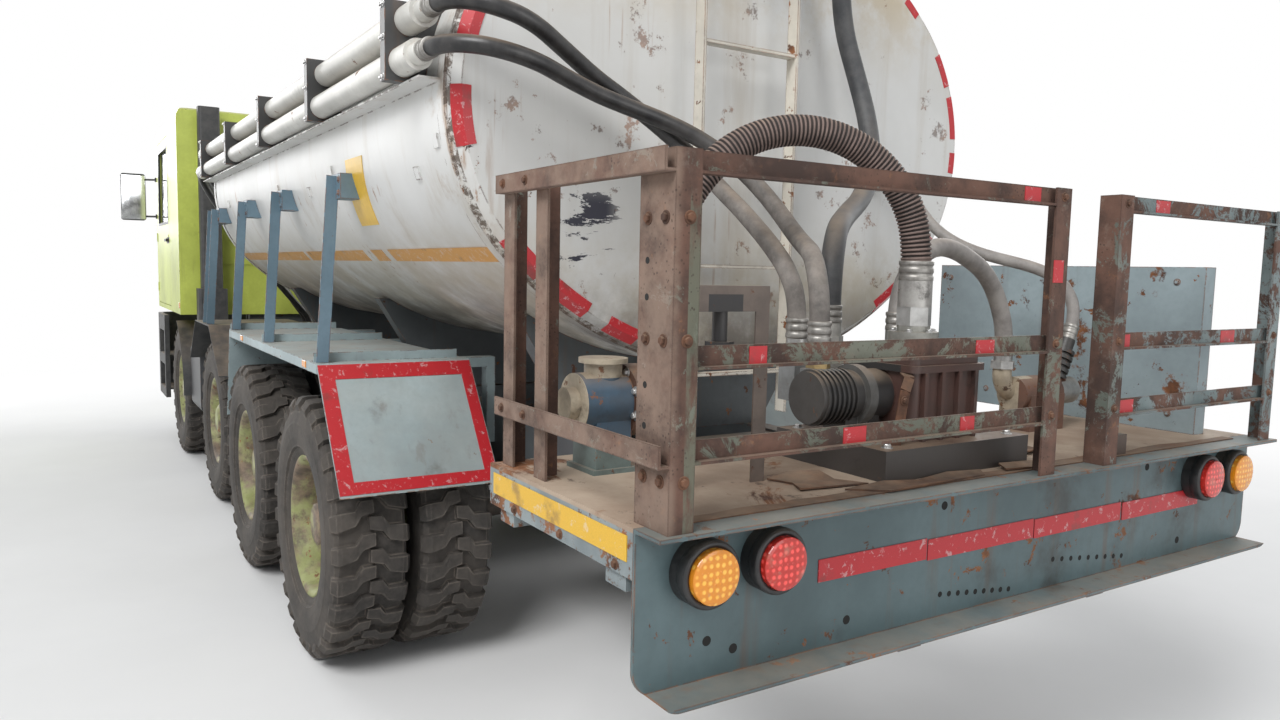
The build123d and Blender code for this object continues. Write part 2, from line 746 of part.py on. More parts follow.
# Mudguards: a folded cover over the second axle and a curved one behind the first
guard_wall = 5
second_guard_top = tyre_radius + 700
second_guard = (
    (steered_stations[1] - 740, tyre_radius + 400),
    (steered_stations[1] - 330, second_guard_top),
    (steered_stations[1] + 330, second_guard_top),
    (steered_stations[1] + 670, tyre_radius + 400),
)
front_guard_radius = 662
front_guard_arc = (112, 66)
front_guard_y = (860, 1235)
guard_arm_angle = 150
guard_arm_radius = 14

# Stays from the fenders and from the second axle's mudguards up to the tank's flanks
stay_leg = 50
stay_wall = 6
stay_foot_y = fender_outer_y - stay_leg - 4
stay_top_z = tank_centre_z - 210
stay_bracket_half = 60
fender_stay_stations = (tandem_stations[0] - 240, tandem_middle + 150, tandem_stations[1] + 410)
guard_stay_stations = (steered_stations[1] - 220, steered_stations[1] - 40)
cross_leg = 38
cross_wall = 4

with BuildPart() as fenders:
    for side in sides:
        width = span(side, fender_inner_y, fender_outer_y)
        underside = [(station, z - fender_wall) for station, z in fender_line]
        underside[0] = (fender_line[0][0] + fender_wall * 1.2, fender_line[0][1])
        underside[1] = (fender_line[1][0] + fender_wall * 0.6, fender_top - fender_wall)
        underside[2] = (fender_line[2][0] - fender_wall * 0.8, fender_top - fender_wall)
        underside[3] = (fender_line[3][0] - fender_wall, fender_line[3][1])
        side_profile(list(fender_line) + underside[::-1], *width)
        lip = span(side, fender_outer_y - fender_wall, fender_outer_y)
        drop = [(station, z - fender_lip) for station, z in fender_line[1:3]]
        side_profile(list(fender_line[1:3]) + drop[::-1], *lip)
        for station in fender_brackets:
            arm_x = around(x_at(station), 30)
            block(arm_x, span(side, rail_outer_y, rail_outer_y + 40), (rail_top - 160, fender_top - fender_wall))
            arm_y = span(side, rail_outer_y, fender_inner_y + 60)
            block(arm_x, arm_y, (fender_top - 50, fender_top - fender_wall))
        cross_y = span(side, fender_inner_y + 30, fender_outer_y - 6)
        for station in fender_stay_stations:
            ahead = x_at(station) + stay_leg + 4
            block((ahead, ahead + cross_leg), cross_y, (fender_top, fender_top + cross_wall))
            block((ahead, ahead + cross_wall), cross_y, (fender_top, fender_top + cross_leg))
write(fenders, "fenders")

with BuildPart() as stays:
    for foot_z, stations in ((fender_top, fender_stay_stations), (second_guard_top, guard_stay_stations)):
        for side in sides:
            for station in stations:
                x = x_at(station)
                foot = (x, side * stay_foot_y, foot_z)
                head = (x, side * (flank_y(stay_top_z) + stay_leg), stay_top_z + 40)
                angle_bar(foot, head, stay_leg, stay_leg, stay_wall, (side, 0, 0))
                bracket_y = span(side, flank_y(stay_top_z) - 40, flank_y(stay_top_z) + stay_leg + 12)
                block(around(x, stay_bracket_half), bracket_y, around(stay_top_z, 50))
    tank_slice(tank_rear, tank_front, seat_gap, Mode.SUBTRACT)
write(stays, "fender_stays")

with BuildPart() as mudguards:
    for side in sides:
        underside = [(station, z - guard_wall * 1.4) for station, z in second_guard]
        side_profile(list(second_guard) + underside[::-1], *span(side, fender_inner_y, fender_outer_y))
        arm_x = around(x_at(steered_stations[1]), 40)
        arm_top = second_guard_top - guard_wall
        block(arm_x, span(side, rail_outer_y, fender_inner_y + 20), (arm_top - 55, arm_top))
        block(arm_x, span(side, rail_outer_y, rail_outer_y + 40), (rail_top - 150, arm_top))
        centre = x_at(steered_stations[0])
        near, far = span(side, *front_guard_y)
        plane = Plane(origin=(centre, near, tyre_radius), x_dir=(1, 0, 0), z_dir=(0, -1, 0))
        with BuildSketch(plane) as arc_band:
            with BuildLine():
                outer_arc = CenterArc((0, 0), front_guard_radius + guard_wall, *front_guard_arc)
                inner_arc = CenterArc((0, 0), front_guard_radius, *front_guard_arc)
                Line(outer_arc @ 0, inner_arc @ 0)
                Line(outer_arc @ 1, inner_arc @ 1)
            make_face()
        extrude(arc_band.sketch, amount=near - far)
        arm_reach = front_guard_radius + guard_wall + guard_arm_radius - 3
        arm_x = centre + arm_reach * cos(radians(guard_arm_angle))
        arm_z = tyre_radius + arm_reach * sin(radians(guard_arm_angle))
        rod((arm_x, side * rail_outer_y, arm_z), (arm_x, side * (front_guard_y[0] + 40), arm_z), guard_arm_radius)
write(mudguards, "mudguards")

# Rear platform: plate, side beams and two cross bearers on the rails
bearer_stations = (170, 700)
bearer_half = 40
with BuildPart() as deck:
    length = (x_at(bumper_depth), x_at(deck_end))
    block(length, around(0, deck_half_width), (deck_top - deck_plate, deck_top))
    for side in sides:
        block(length, span(side, deck_half_width - beam_wall, deck_half_width), (deck_top - beam_drop, deck_top))
        foot_z = (deck_top - beam_drop, deck_top - beam_drop + beam_wall)
        block(length, span(side, deck_half_width - beam_foot, deck_half_width), foot_z)
    for station in bearer_stations:
        bearer_y = around(0, deck_half_width - beam_wall)
        block(around(x_at(station), bearer_half), bearer_y, (rail_top, deck_top - deck_plate))
write(deck, "rear_deck")

# Rear bumper: a channel, open to the rear, with rounded lower corners
bumper_height = 350
bumper_bottom = deck_top - bumper_height
bumper_wall = 9
bumper_corner = 60
with BuildPart() as bumper:
    block((rear_face, x_at(bumper_depth)), around(0, deck_half_width), (bumper_bottom, deck_top))
    fillet(bumper.edges().filter_by(Axis.X).group_by(Axis.Z)[0], bumper_corner)
    block(
        (rear_face - 1, x_at(bumper_depth) - bumper_wall), around(0, deck_half_width + 1),
        (bumper_bottom + bumper_wall, deck_top - bumper_wall), mode=Mode.SUBTRACT,
    )
write(bumper, "rear_bumper")

# Rear lamps: an amber and a red round lamp at each end, in rubber rings on the web
lamp_z = deck_top - 102
lamp_places = (deck_half_width - 152, deck_half_width - 333)
lamp_radius = 56.5
ring_radius = 71
ring_rear = 38
lens_rear = 22
with BuildPart() as lamps:
    for side in sides:
        for y in lamp_places:
            rod((x_at(bumper_depth) - bumper_wall, side * y, lamp_z), (x_at(ring_rear), side * y, lamp_z), ring_radius)
            rod((x_at(ring_rear + 1), side * y, lamp_z), (x_at(lens_rear), side * y, lamp_z), lamp_radius)
write(lamps, "rear_lamps")

# Guard cages of rolled angle round the platform
post_leg = 60
post_wall = 6
cage_top = 727
rail_leg = 45
rail_depth = 25
cage_side_y = deck_half_width - 26
cage_station = 14
side_post_stations = (deck_end - 200, deck_end - 20)
side_rails = (130, 682)
rear_rails = (131, 314, 682)
# Rear frames: outer and inner Y of their posts' corners
rear_frames = ((cage_side_y, -30), (-250, -cage_side_y))


def post(station, y, leg_dir):
    """An upright angle standing on the platform."""
    angle_bar(on_deck(station, y, 0), on_deck(station, y, cage_top), post_leg, post_leg, post_wall, leg_dir)


with BuildPart() as cages:
    post(cage_station + post_leg, cage_side_y, (0, -1, 0))
    for station in side_post_stations:
        post(station, cage_side_y, (-1, 0, 0))
    for height in side_rails:
        start = on_deck(cage_station, cage_side_y + rail_depth, height)
        end = on_deck(side_post_stations[-1], cage_side_y + rail_depth, height)
        angle_bar(start, end, rail_leg, rail_depth, post_wall, (0, 0, 1))
    for outer, inner in rear_frames:
        post(cage_station, outer, (0, -1, 0))
        post(cage_station, inner, (1, 0, 0))
        for height in rear_rails:
            start = on_deck(cage_station + rail_depth, outer, height)
            end = on_deck(cage_station + rail_depth, inner, height)
            angle_bar(start, end, rail_leg, rail_depth, post_wall, (0, 0, 1))
write(cages, "guard_cages")

# Right-hand side panel of folded sheet
panel_y = 180 - deck_half_width
panel_rear = 170
panel_length = 1060
panel_height = 550
panel_wall = 4
panel_flange = 60
panel_foot = 40
with BuildPart() as panel:
    panel_x = (x_at(panel_rear), x_at(panel_rear + panel_length))
    panel_top = deck_top + panel_height
    block(panel_x, (panel_y - panel_wall, panel_y), (deck_top, panel_top))
    block(panel_x, (panel_y - panel_flange, panel_y), (panel_top - panel_wall, panel_top))
    block((panel_x[0], panel_x[0] + panel_wall), (panel_y - panel_flange, panel_y), (deck_top, panel_top))
    block((panel_x[0], x_at(deck_end)), (panel_y - panel_foot, panel_y), (deck_top, deck_top + panel_wall))
write(panel, "side_panel")

# Transfer pump: pedestal, ribbed casting, motor with its clamp ring, and the ports on top.
# Port rows are foot and top above the platform, radius, facets
pump_station = 330
pump_y = 165
pump_half_length = 125
pump_half_width = 130
pump_height = 300
pump_edge = 22
pump_ribs = 4
pump_rib = (12, 14)
pedestal_height = 78
motor_z = 190
motor_radius = 66
motor_fins = 7
motor_end_y = 545
clamp_ring_y = 385
clamp_ring_wall = 14
low_port = (350, 490)
high_port = (490, 440)
suction_port = (620, 200)
loop_port = (470, 75)
suction_top = pump_height + 190
hose_port_top = 330
roof_hose_top = 360
loop_top = 345
with BuildPart() as pump:
    block(
        (x_at(pump_station - 190), x_at(pump_station + 210)), (pump_y - 260, pump_y + 290),
        (deck_top, deck_top + pedestal_height),
    )
    with BuildSketch(Plane(origin=on_deck(pump_station, pump_y, pedestal_height))) as casting:
        RectangleRounded(2 * pump_half_length, 2 * pump_half_width, pump_edge)
    extrude(casting.sketch, amount=pump_height - pedestal_height)
    with BuildSketch(Plane(origin=on_deck(pump_station, pump_y, pump_height - 45))) as lip:
        RectangleRounded(2 * pump_half_length + 24, 2 * pump_half_width + 24, pump_edge)
    extrude(lip.sketch, amount=18)
    for rib in range(pump_ribs):
        rib_y = pump_y + (rib - (pump_ribs - 1) / 2) * 2 * pump_half_width / pump_ribs
        block(
            around(x_at(pump_station), pump_half_length + pump_rib[1]), around(rib_y, pump_rib[0] / 2),
            (deck_top + pedestal_height, deck_top + pump_height - 45),
        )
    stack(pump_station, pump_y, (
        (pump_height, pump_height + 52, 66, 0),
        (pump_height + 52, pump_height + 68, 44, 0),
        (pump_height + 68, pump_height + 118, 48, 6),
        (pump_height + 118, suction_top, 45, 0),
    ))
    rod(on_deck(pump_station, pump_y, motor_z), on_deck(pump_station, motor_end_y, motor_z), motor_radius)
    for fin in range(motor_fins):
        fin_y = motor_end_y - 12 - 16 * fin
        rod(on_deck(pump_station, fin_y - 6, motor_z), on_deck(pump_station, fin_y, motor_z), motor_radius + 6)
    rod(
        on_deck(pump_station, clamp_ring_y - clamp_ring_wall, motor_z),
        on_deck(pump_station, clamp_ring_y + clamp_ring_wall, motor_z), motor_radius + clamp_ring_wall,
    )
    block(
        around(x_at(pump_station), 40), around(clamp_ring_y, 60), (deck_top + pedestal_height, deck_top + motor_z),
    )
    for station, y in (low_port, high_port):
        block(around(x_at(station), 32), around(y, 32), (deck_top + motor_z - 30, deck_top + motor_z + 70))
        stack(station, y, ((motor_z + 70, motor_z + 100, 32, 6), (motor_z + 100, hose_port_top, 28, 0)))
    block(
        (x_at(pump_station), x_at(high_port[0])), around(high_port[1], 20), around(deck_top + motor_z, 25),
    )
    block(
        (x_at(pump_station), x_at(suction_port[0] + 40)), around(suction_port[1], 40),
        (deck_top + 120, deck_top + 200),
    )
    stack(*suction_port, ((200, 270, 46, 0), (270, 320, 46, 6), (320, roof_hose_top, 38, 0)))
    block((x_at(pump_station), x_at(loop_port[0] + 34)), around(loop_port[1], 35), (deck_top + 190, deck_top + 270))
    stack(*loop_port, ((270, 310, 40, 6), (310, loop_top, 32, 0)))
write(pump, "transfer_pump")

# Left valve on its pedestal, the angle stand, the right-hand manifold and the deck lever
valve_station = 600
valve_y = 980
valve_z = 172
valve_hose_y = 826
valve_hose_top = 290
# The valve's run along Y: from, to, radius
valve_run = ((1090, 1060, 40), (1062, 905, 74), (928, 880, 92), (882, 780, 56))
stand_station = 300
stand_ys = (960, 700)
stand_leg = 40
stand_wall = 5
stand_height = 470
stand_apron = 60
manifold_station = 510
manifold_y = -640
manifold_half = (60, 90)
manifold_z = 120
manifold_radius = 58
outlet_reach = 110
outlet_radius = 46
elbow_station = 530
elbow_y = -500
elbow_bend = 70
elbow_radius = 30
elbow_top = 250
drain_end = (468, -752, 300)
drain_lean = (0, 27, -59)
drain_coupling = 170
drain_ribs = 5
lever_station = 120
lever_y = -440
with BuildPart() as valves:
    block(around(x_at(valve_station), 60), around(valve_y, 50), (deck_top, deck_top + valve_z))
    block(around(x_at(valve_station), 70), around(valve_y, 62), (deck_top, deck_top + 12))
    for start_y, end_y, radius in valve_run:
        rod(on_deck(valve_station, start_y, valve_z), on_deck(valve_station, end_y, valve_z), radius)
    stack(valve_station, valve_y, ((valve_z, valve_z + 98, 48, 0), (valve_z + 98, valve_z + 110, 62, 0)))
    stack(valve_station, valve_hose_y, ((92, 200, 52, 6), (200, valve_hose_top, 44, 0)))
    for y in stand_ys:
        angle_bar(
            on_deck(stand_station, y, 0), on_deck(stand_station, y, stand_height), stand_leg, stand_leg, stand_wall,
            (1, 0, 0),
        )
    stand_y = (stand_ys[1], stand_ys[0] + stand_leg)
    stand_top = deck_top + stand_height
    block((x_at(stand_station), x_at(stand_station + stand_leg)), stand_y, (stand_top - stand_wall, stand_top))
    block((x_at(stand_station), x_at(stand_station + stand_wall)), stand_y, (stand_top - stand_apron, stand_top))
    stack(stand_station + 22, stand_ys[1] + 130, (
        (stand_height - 130, stand_height - 4, 18, 0), (stand_height - 190, stand_height - 130, 34, 6),
    ))
    block(
        around(x_at(manifold_station), manifold_half[0]), around(manifold_y, manifold_half[1]),
        (deck_top, deck_top + manifold_z),
    )
    rod(
        on_deck(manifold_station, manifold_y + manifold_half[1] + 20, manifold_z),
        on_deck(manifold_station, manifold_y - manifold_half[1], manifold_z), manifold_radius,
    )
    outlet_y = manifold_y - manifold_half[1]
    rod(
        on_deck(manifold_station, outlet_y, manifold_z),
        on_deck(manifold_station, outlet_y - outlet_reach, manifold_z), outlet_radius,
    )
    with BuildLine() as elbow_line:
        FilletPolyline(
            on_deck(elbow_station, elbow_y, elbow_top), on_deck(elbow_station, elbow_y, manifold_z),
            on_deck(elbow_station, manifold_y, manifold_z), radius=elbow_bend,
        )
    with BuildSketch(Plane(origin=on_deck(elbow_station, elbow_y, elbow_top), z_dir=(0, 0, -1))) as elbow:
        Circle(elbow_radius)
    sweep(elbow.sketch, path=elbow_line.wires()[0])
    stack(elbow_station, elbow_y, ((elbow_top - 45, elbow_top - 20, 40, 6),))
    mouth = Vector(*on_deck(*drain_end))
    lean = Vector(*drain_lean).normalized()
    rod(mouth, mouth + lean * drain_coupling, 26)
    for rib in range(drain_ribs):
        ring_foot = mouth + lean * (40 + 22 * rib)
        rod(ring_foot, ring_foot + lean * 12, 36)
    block(around(x_at(lever_station), 40), around(lever_y, 30), (deck_top, deck_top + 60))
    rod(on_deck(lever_station, lever_y, 58), on_deck(lever_station + 20, lever_y - 20, 330), 9)
write(valves, "valves")

# Hoses, each from coupling to coupling. Rows are name, radius, then points as station, y and
# height above the platform
low_pipe_z = pipes[1][1] - deck_top
high_pipe_z = pipes[0][1] - deck_top
pipe_end = pipe_rear - coupling_reach
front_end = pipe_front + coupling_reach
stub_top = rail_top + stub_height - deck_top
hoses = (
    ("suction_hose", 41, (
        (valve_station, valve_hose_y, valve_hose_top), (valve_station, valve_hose_y, 391), (596, 813, 504),
        (581, 786, 615), (563, 743, 720), (538, 662, 810), (503, 559, 865), (460, 448, 878), (417, 347, 853),
        (378, 260, 793), (347, 197, 706), (pump_station, pump_y, 599), (pump_station, pump_y, suction_top),
    )),
    ("delivery_hose_low", 26, (
        (pipe_end, pipes[1][0], low_pipe_z), (1193, 1200, 1124), (1109, 1158, 1119), (1053, 1083, 1108),
        (1034, 965, 1085), (1058, 843, 1049), (1062, 735, 1016), (1056, 637, 992), (1035, 541, 965),
        (997, 454, 927), (946, 384, 876), (884, 333, 814), (814, 304, 745), (739, 300, 679), (652, 322, 620),
        (552, 375, 584), (443, 438, 554), (383, 473, 496), (*low_port, 416), (*low_port, hose_port_top),
    )),
    ("delivery_hose_high", 26, (
        (pipe_end, pipes[0][0], high_pipe_z), (1202, 1182, 1250), (1124, 1147, 1242), (1069, 1084, 1226),
        (1038, 978, 1195), (1081, 843, 1134), (1105, 732, 1078), (1113, 635, 1034), (1110, 548, 986),
        (1085, 473, 928), (1024, 430, 864), (949, 417, 801), (867, 420, 745), (778, 427, 693), (692, 434, 637),
        (611, 440, 580), (535, 442, 512), (*high_port, 425), (*high_port, hose_port_top),
    )),
    ("roof_hose", 34, (
        (tank_rear + 140, roof_port_y, port_z - deck_top), (1299, -200, 1965), (1202, -206, 1925),
        (1130, -216, 1850), (1085, -233, 1730), (1110, -260, 1548), (1134, -309, 1380), (1112, -364, 1214),
        (1070, -379, 1075), (1012, -349, 951), (939, -275, 840), (863, -157, 750), (792, -24, 692),
        (701, 102, 643), (647, 168, 561), (*suction_port, 463), (*suction_port, roof_hose_top),
    )),
    ("loop_hose", 28, (
        (*loop_port, loop_top), (470, 75, 409), (473, 55, 473), (478, 17, 526), (486, -39, 568),
        (497, -114, 592), (508, -202, 586), (513, -282, 558), (521, -364, 523), (527, -429, 466),
        (530, -474, 395), (530, -500, 323), (elbow_station, elbow_y, elbow_top),
    )),
    ("drain_hose", 20, (
        (tank_rear - outlet_port_reach, outlet_port_y, outlet_port_z - deck_top), (1137, -620, 860),
        (1078, -612, 836), (1032, -600, 788), (982, -589, 745), (934, -581, 700), (882, -584, 658),
        (827, -600, 623), (771, -624, 596), (716, -655, 576), (661, -689, 560), (610, -726, 544),
        (559, -761, 521), (512, -784, 480), (479, -790, 423), (468, -779, 359), drain_end,
    )),
    ("front_hose_high", 24, (
        (front_end, pipes[0][0], high_pipe_z), (6070, 1182, 1250), (6179, 1140, 1173), (6254, 1079, 1076),
        (6301, 1007, 966), (6333, 937, 852), (6354, 865, 737), (6368, 787, 625), (6377, 706, 512),
        (6384, 625, 399), (6390, 547, 286), (6397, 474, 169), (front_stubs[0], stub_y, 56),
        (front_stubs[0], stub_y, stub_top),
    )),
    ("front_hose_low", 24, (
        (front_end, pipes[1][0], low_pipe_z), (6038, 1200, 1124), (6128, 1171, 1076), (6183, 1110, 979),
        (6206, 1036, 872), (6221, 958, 765), (6230, 880, 661), (6235, 802, 556), (6239, 723, 452),
        (6242, 641, 350), (6246, 558, 250), (6250, 474, 152), (front_stubs[1], stub_y, 49),
        (front_stubs[1], stub_y, stub_top),
    )),
)
for name, radius, points in hoses:
    hose_node(name, radius, [on_deck(*point) for point in points])

# Front bumper and steps, wrapped round the nose, with a slatted opening for the radiator
step_rear = steered_stations[0] + 680
step_cut = (60, 460)
step_cut_height = 230
step_cut_depth = 200
step_foots = (80, 400)
step_tread_wall = 14
front_bumper_bottom = 400
front_bumper_top = cab_bottom - 70
nose_radius = 160
grille_half_width = rail_outer_y - rail_flange - 10
grille_low = 330
grille_slats = 4
grille_slat = (10, 18)
lamp_unit_y = (640, 1000)
lamp_unit_z = (720, 900)
with BuildPart() as front_bumper:
    with BuildSketch(Plane.XY.offset(front_bumper_bottom)) as nose:
        with BuildLine():
            FilletPolyline(
                (x_at(step_rear), -cab_half_width), (x_at(overall_length), -cab_half_width),
                (x_at(overall_length), cab_half_width), (x_at(step_rear), cab_half_width),
                radius=nose_radius,
            )
            inner = cab_half_width - nose_wall
            nose_x = x_at(overall_length) - nose_wall
            Line((x_at(step_rear), cab_half_width), (x_at(step_rear), inner))
            FilletPolyline(
                (x_at(step_rear), inner), (nose_x, inner), (nose_x, -inner), (x_at(step_rear), -inner),
                radius=nose_radius - nose_wall,
            )
            Line((x_at(step_rear), -inner), (x_at(step_rear), -cab_half_width))
        make_face()
    extrude(amount=front_bumper_top - front_bumper_bottom)
    step_x = (x_at(step_rear + step_cut[0]), x_at(step_rear + step_cut[1]))
    for side in sides:
        for foot in step_foots:
            z = front_bumper_bottom + foot
            block(
                step_x, span(side, cab_half_width - step_cut_depth, cab_half_width + 5), (z, z + step_cut_height),
                mode=Mode.SUBTRACT,
            )
    through = (nose_x - 5, x_at(overall_length) + 5)
    block(
        through, around(0, grille_half_width), (front_bumper_bottom + grille_low, front_bumper_top - 60),
        mode=Mode.SUBTRACT,
    )
    for side in sides:
        block(through, span(side, *lamp_unit_y), lamp_unit_z, mode=Mode.SUBTRACT)
        for foot in step_foots:
            z = front_bumper_bottom + foot - step_tread_wall + 2
            block(
                (step_x[0] - 10, step_x[1] + 10), span(side, cab_half_width - step_cut_depth - 30, cab_half_width - 4),
                (z, z + step_tread_wall),
            )
    slat_gap = (front_bumper_top - 60 - front_bumper_bottom - grille_low) / (grille_slats + 1)
    for slat in range(grille_slats):
        z = front_bumper_bottom + grille_low + slat_gap * (slat + 1)
        block((nose_x, nose_x + grille_slat[1]), around(0, grille_half_width + 5), around(z, grille_slat[0]))
write(front_bumper, "front_bumper")

# Front lamps: one unit each side in the bumper's face
with BuildPart() as front_lamps:
    for side in sides:
        block((nose_x - 50, x_at(overall_length) - 6), span(side, *lamp_unit_y), lamp_unit_z)
write(front_lamps, "front_lamps")

# Cab shell: its side, rear and plan outlines crossed, less the same form set in by the wall
cab_side_line = (
    (cab_rear, cab_bottom), (cab_rear, cab_top - 70), (cab_rear + 400, cab_top), (cab_front - 420, cab_top),
    (cab_front - 230, cab_top - 110), (cab_front - 30, cab_bottom + 760), (cab_front, cab_bottom + 660),
    (cab_front, cab_bottom),
)


def cab_form(inset):
    """The cab's closed outer form, moved in by inset on every side."""
    with BuildPart() as form:
        with BuildSketch(Plane(origin=(0, cab_half_width, 0), x_dir=(1, 0, 0), z_dir=(0, -1, 0))) as side_view:
            Polygon(*[(x_at(station), z) for station, z in cab_side_line], align=None)
            if inset:
                offset(amount=-inset, kind=Kind.INTERSECTION, mode=Mode.REPLACE)
        extrude(side_view.sketch, amount=2 * cab_half_width)
        half = cab_half_width - inset
        floor = cab_bottom + inset
        roof = cab_top - inset
        with BuildSketch(Plane(origin=(x_at(cab_rear), 0, 0), x_dir=(0, 1, 0), z_dir=(1, 0, 0))) as rear_view:
            with BuildLine():
                FilletPolyline((-half, floor), (-half, roof), (half, roof), (half, floor), radius=cab_edge_radius - inset)
                Line((half, floor), (-half, floor))
            make_face()
        extrude(rear_view.sketch, amount=cab_length, mode=Mode.INTERSECT)
        front_x = x_at(cab_front - inset)
        rear_x = x_at(cab_rear + inset)
        with BuildSketch(Plane.XY) as plan_view:
            with BuildLine():
                FilletPolyline(
                    (rear_x, -half), (front_x, -half), (front_x, half), (rear_x, half),
                    radius=cab_nose_radius - inset,
                )
                Line((rear_x, half), (rear_x, -half))
            make_face()
        extrude(plan_view.sketch, amount=cab_top, mode=Mode.INTERSECT)
    return form.part


cab_outer = cab_form(0)
cab_inner = cab_form(cab_wall)
glass_outer = cab_form(glass_depth)
glass_inner = cab_form(glass_depth + glass_wall)

# Door and window outlines as (station, height); both follow the front pillar
door_rear = cab_rear + 660
window_rear = cab_rear + 760
door_line = (
    (door_rear, cab_bottom + 40), (cab_front - 190, cab_bottom + 40), (cab_front - 190, cab_bottom + 740),
    (cab_front - 310, cab_top - 210), (door_rear, cab_top - 210),
)
window_line = (
    (window_rear, cab_bottom + 780), (cab_front - 320, cab_bottom + 780),
    (cab_front - 410, cab_top - 300), (window_rear, cab_top - 300),
)
windscreen_half_width = 1060
windscreen_z = (cab_bottom + 800, cab_top - 170)
outline_clearance = 20
door_hinge_station = cab_front - 190 - door_gap
hinge_radius = 9
hinge_length = 80
hinge_heights = (cab_bottom + 150, cab_bottom + 620)


def outline_plate(points, side, inset=0):
    """A side-view outline as deep as one side wall of the cab."""
    with BuildPart() as plate:
        plane = Plane(origin=(0, side * (cab_half_width + outline_clearance), 0), x_dir=(1, 0, 0), z_dir=(0, -1, 0))
        with BuildSketch(plane) as outline:
            Polygon(*[(x_at(station), z) for station, z in points], align=None)
            if inset:
                offset(amount=-inset, kind=Kind.INTERSECTION, mode=Mode.REPLACE)
        extrude(outline.sketch, amount=side * (outline_clearance + cab_wall))
    return plate.part


def hinge_barrels(side, radius, clearance=0, mode=Mode.ADD):
    """The two door hinge barrels on the hinge axis, or the pockets they turn in."""
    x = x_at(door_hinge_station)
    y = side * cab_half_width
    for low in hinge_heights:
        rod((x, y, low - clearance), (x, y, low + hinge_length + clearance), radius + clearance, mode)


swage_count = 6
swage_pitch = 200
swage_height = 60
swage_depth = 9
tilt_ear_low = tilt_ear_y - tilt_ear_wall / 2
nose_slots = 5
nose_slot_pitch = 88
nose_slot_height = 46
nose_slot_depth = 22
nose_slot_half_width = 820
visor_half_width = 980
visor_line = (
    (cab_front - 300, cab_top - 74), (cab_front - 120, cab_top - 150), (cab_front - 120, cab_top - 168),
    (cab_front - 300, cab_top - 92),
)
door_openings = {side: outline_plate(door_line, side) for side in sides}
door_blanks = {side: outline_plate(door_line, side, door_gap) for side in sides}
window_blanks = {side: outline_plate(window_line, side) for side in sides}
with BuildPart() as cab:
    add(cab_outer)
    add(cab_inner, mode=Mode.SUBTRACT)
    for side in sides:
        add(door_openings[side], mode=Mode.SUBTRACT)
        hinge_barrels(side, hinge_radius, seat_gap, Mode.SUBTRACT)
    screen_x = (x_at(cab_front) - 500, x_at(cab_front) + 10)
    block(screen_x, around(0, windscreen_half_width), windscreen_z, mode=Mode.SUBTRACT)
    for slot in range(nose_slots):
        z = cab_bottom + 130 + nose_slot_pitch * slot
        block(
            (x_at(cab_front) - nose_slot_depth, x_at(cab_front) + 1), around(0, nose_slot_half_width),
            (z, z + nose_slot_height), mode=Mode.SUBTRACT,
        )
    for swage in range(swage_count):
        z = cab_bottom + 420 + swage_pitch * swage
        if z + swage_height < cab_top - 70:
            block(
                (x_at(cab_rear) - swage_depth, x_at(cab_rear) + 2), around(0, cab_half_width - cab_edge_radius),
                (z, z + swage_height),
            )
    tilt_x = x_at(tilt_station)
    for side in sides:
        ear = span(side, tilt_ear_low, tilt_ear_low + tilt_ear_wall)
        block(around(tilt_x, tilt_ear_radius), ear, (tilt_z, cab_bottom + 10))
        rod((tilt_x, ear[0], tilt_z), (tilt_x, ear[1], tilt_z), tilt_ear_radius)
        rod((tilt_x, ear[0] - 1, tilt_z), (tilt_x, ear[1] + 1, tilt_z), tilt_pin_radius + pin_gap, Mode.SUBTRACT)
    side_profile(visor_line, -visor_half_width, visor_half_width)
write(cab, "cab_shell")

with BuildPart() as windscreen:
    add(glass_outer)
    add(glass_inner, mode=Mode.SUBTRACT)
    block(screen_x, around(0, windscreen_half_width), windscreen_z, mode=Mode.INTERSECT)
write(windscreen, "windscreen")

handle_station = door_rear + 70
handle_z = cab_bottom + 640
for side in sides:
    with BuildPart() as door:
        add(cab_outer)
        add(cab_inner, mode=Mode.SUBTRACT)
        add(door_blanks[side], mode=Mode.INTERSECT)
        add(window_blanks[side], mode=Mode.SUBTRACT)
        hinge_barrels(side, hinge_radius)
        grip = span(side, cab_half_width - 14, cab_half_width + 4)
        block((x_at(handle_station), x_at(handle_station + 170)), grip, (handle_z, handle_z + 26))
    write(door, f"door_{hands[side]}")
    with BuildPart() as pane:
        add(glass_outer)
        add(glass_inner, mode=Mode.SUBTRACT)
        add(window_blanks[side], mode=Mode.INTERSECT)
    write(pane, f"door_glass_{hands[side]}")

# Seats, dashboard and steering wheel
floor_z = cab_bottom + cab_wall
seat_y = (330, 850)
seat_line = (
    (cab_rear + 300, floor_z), (cab_rear + 300, floor_z + 330), (cab_rear + 180, floor_z + 1060),
    (cab_rear + 290, floor_z + 1080), (cab_rear + 420, floor_z + 470), (cab_rear + 880, floor_z + 510),
    (cab_rear + 880, floor_z + 380), (cab_rear + 700, floor_z + 340), (cab_rear + 700, floor_z),
)
with BuildPart() as seats:
    for side in sides:
        side_profile(seat_line, *span(side, *seat_y))
write(seats, "cab_seats")

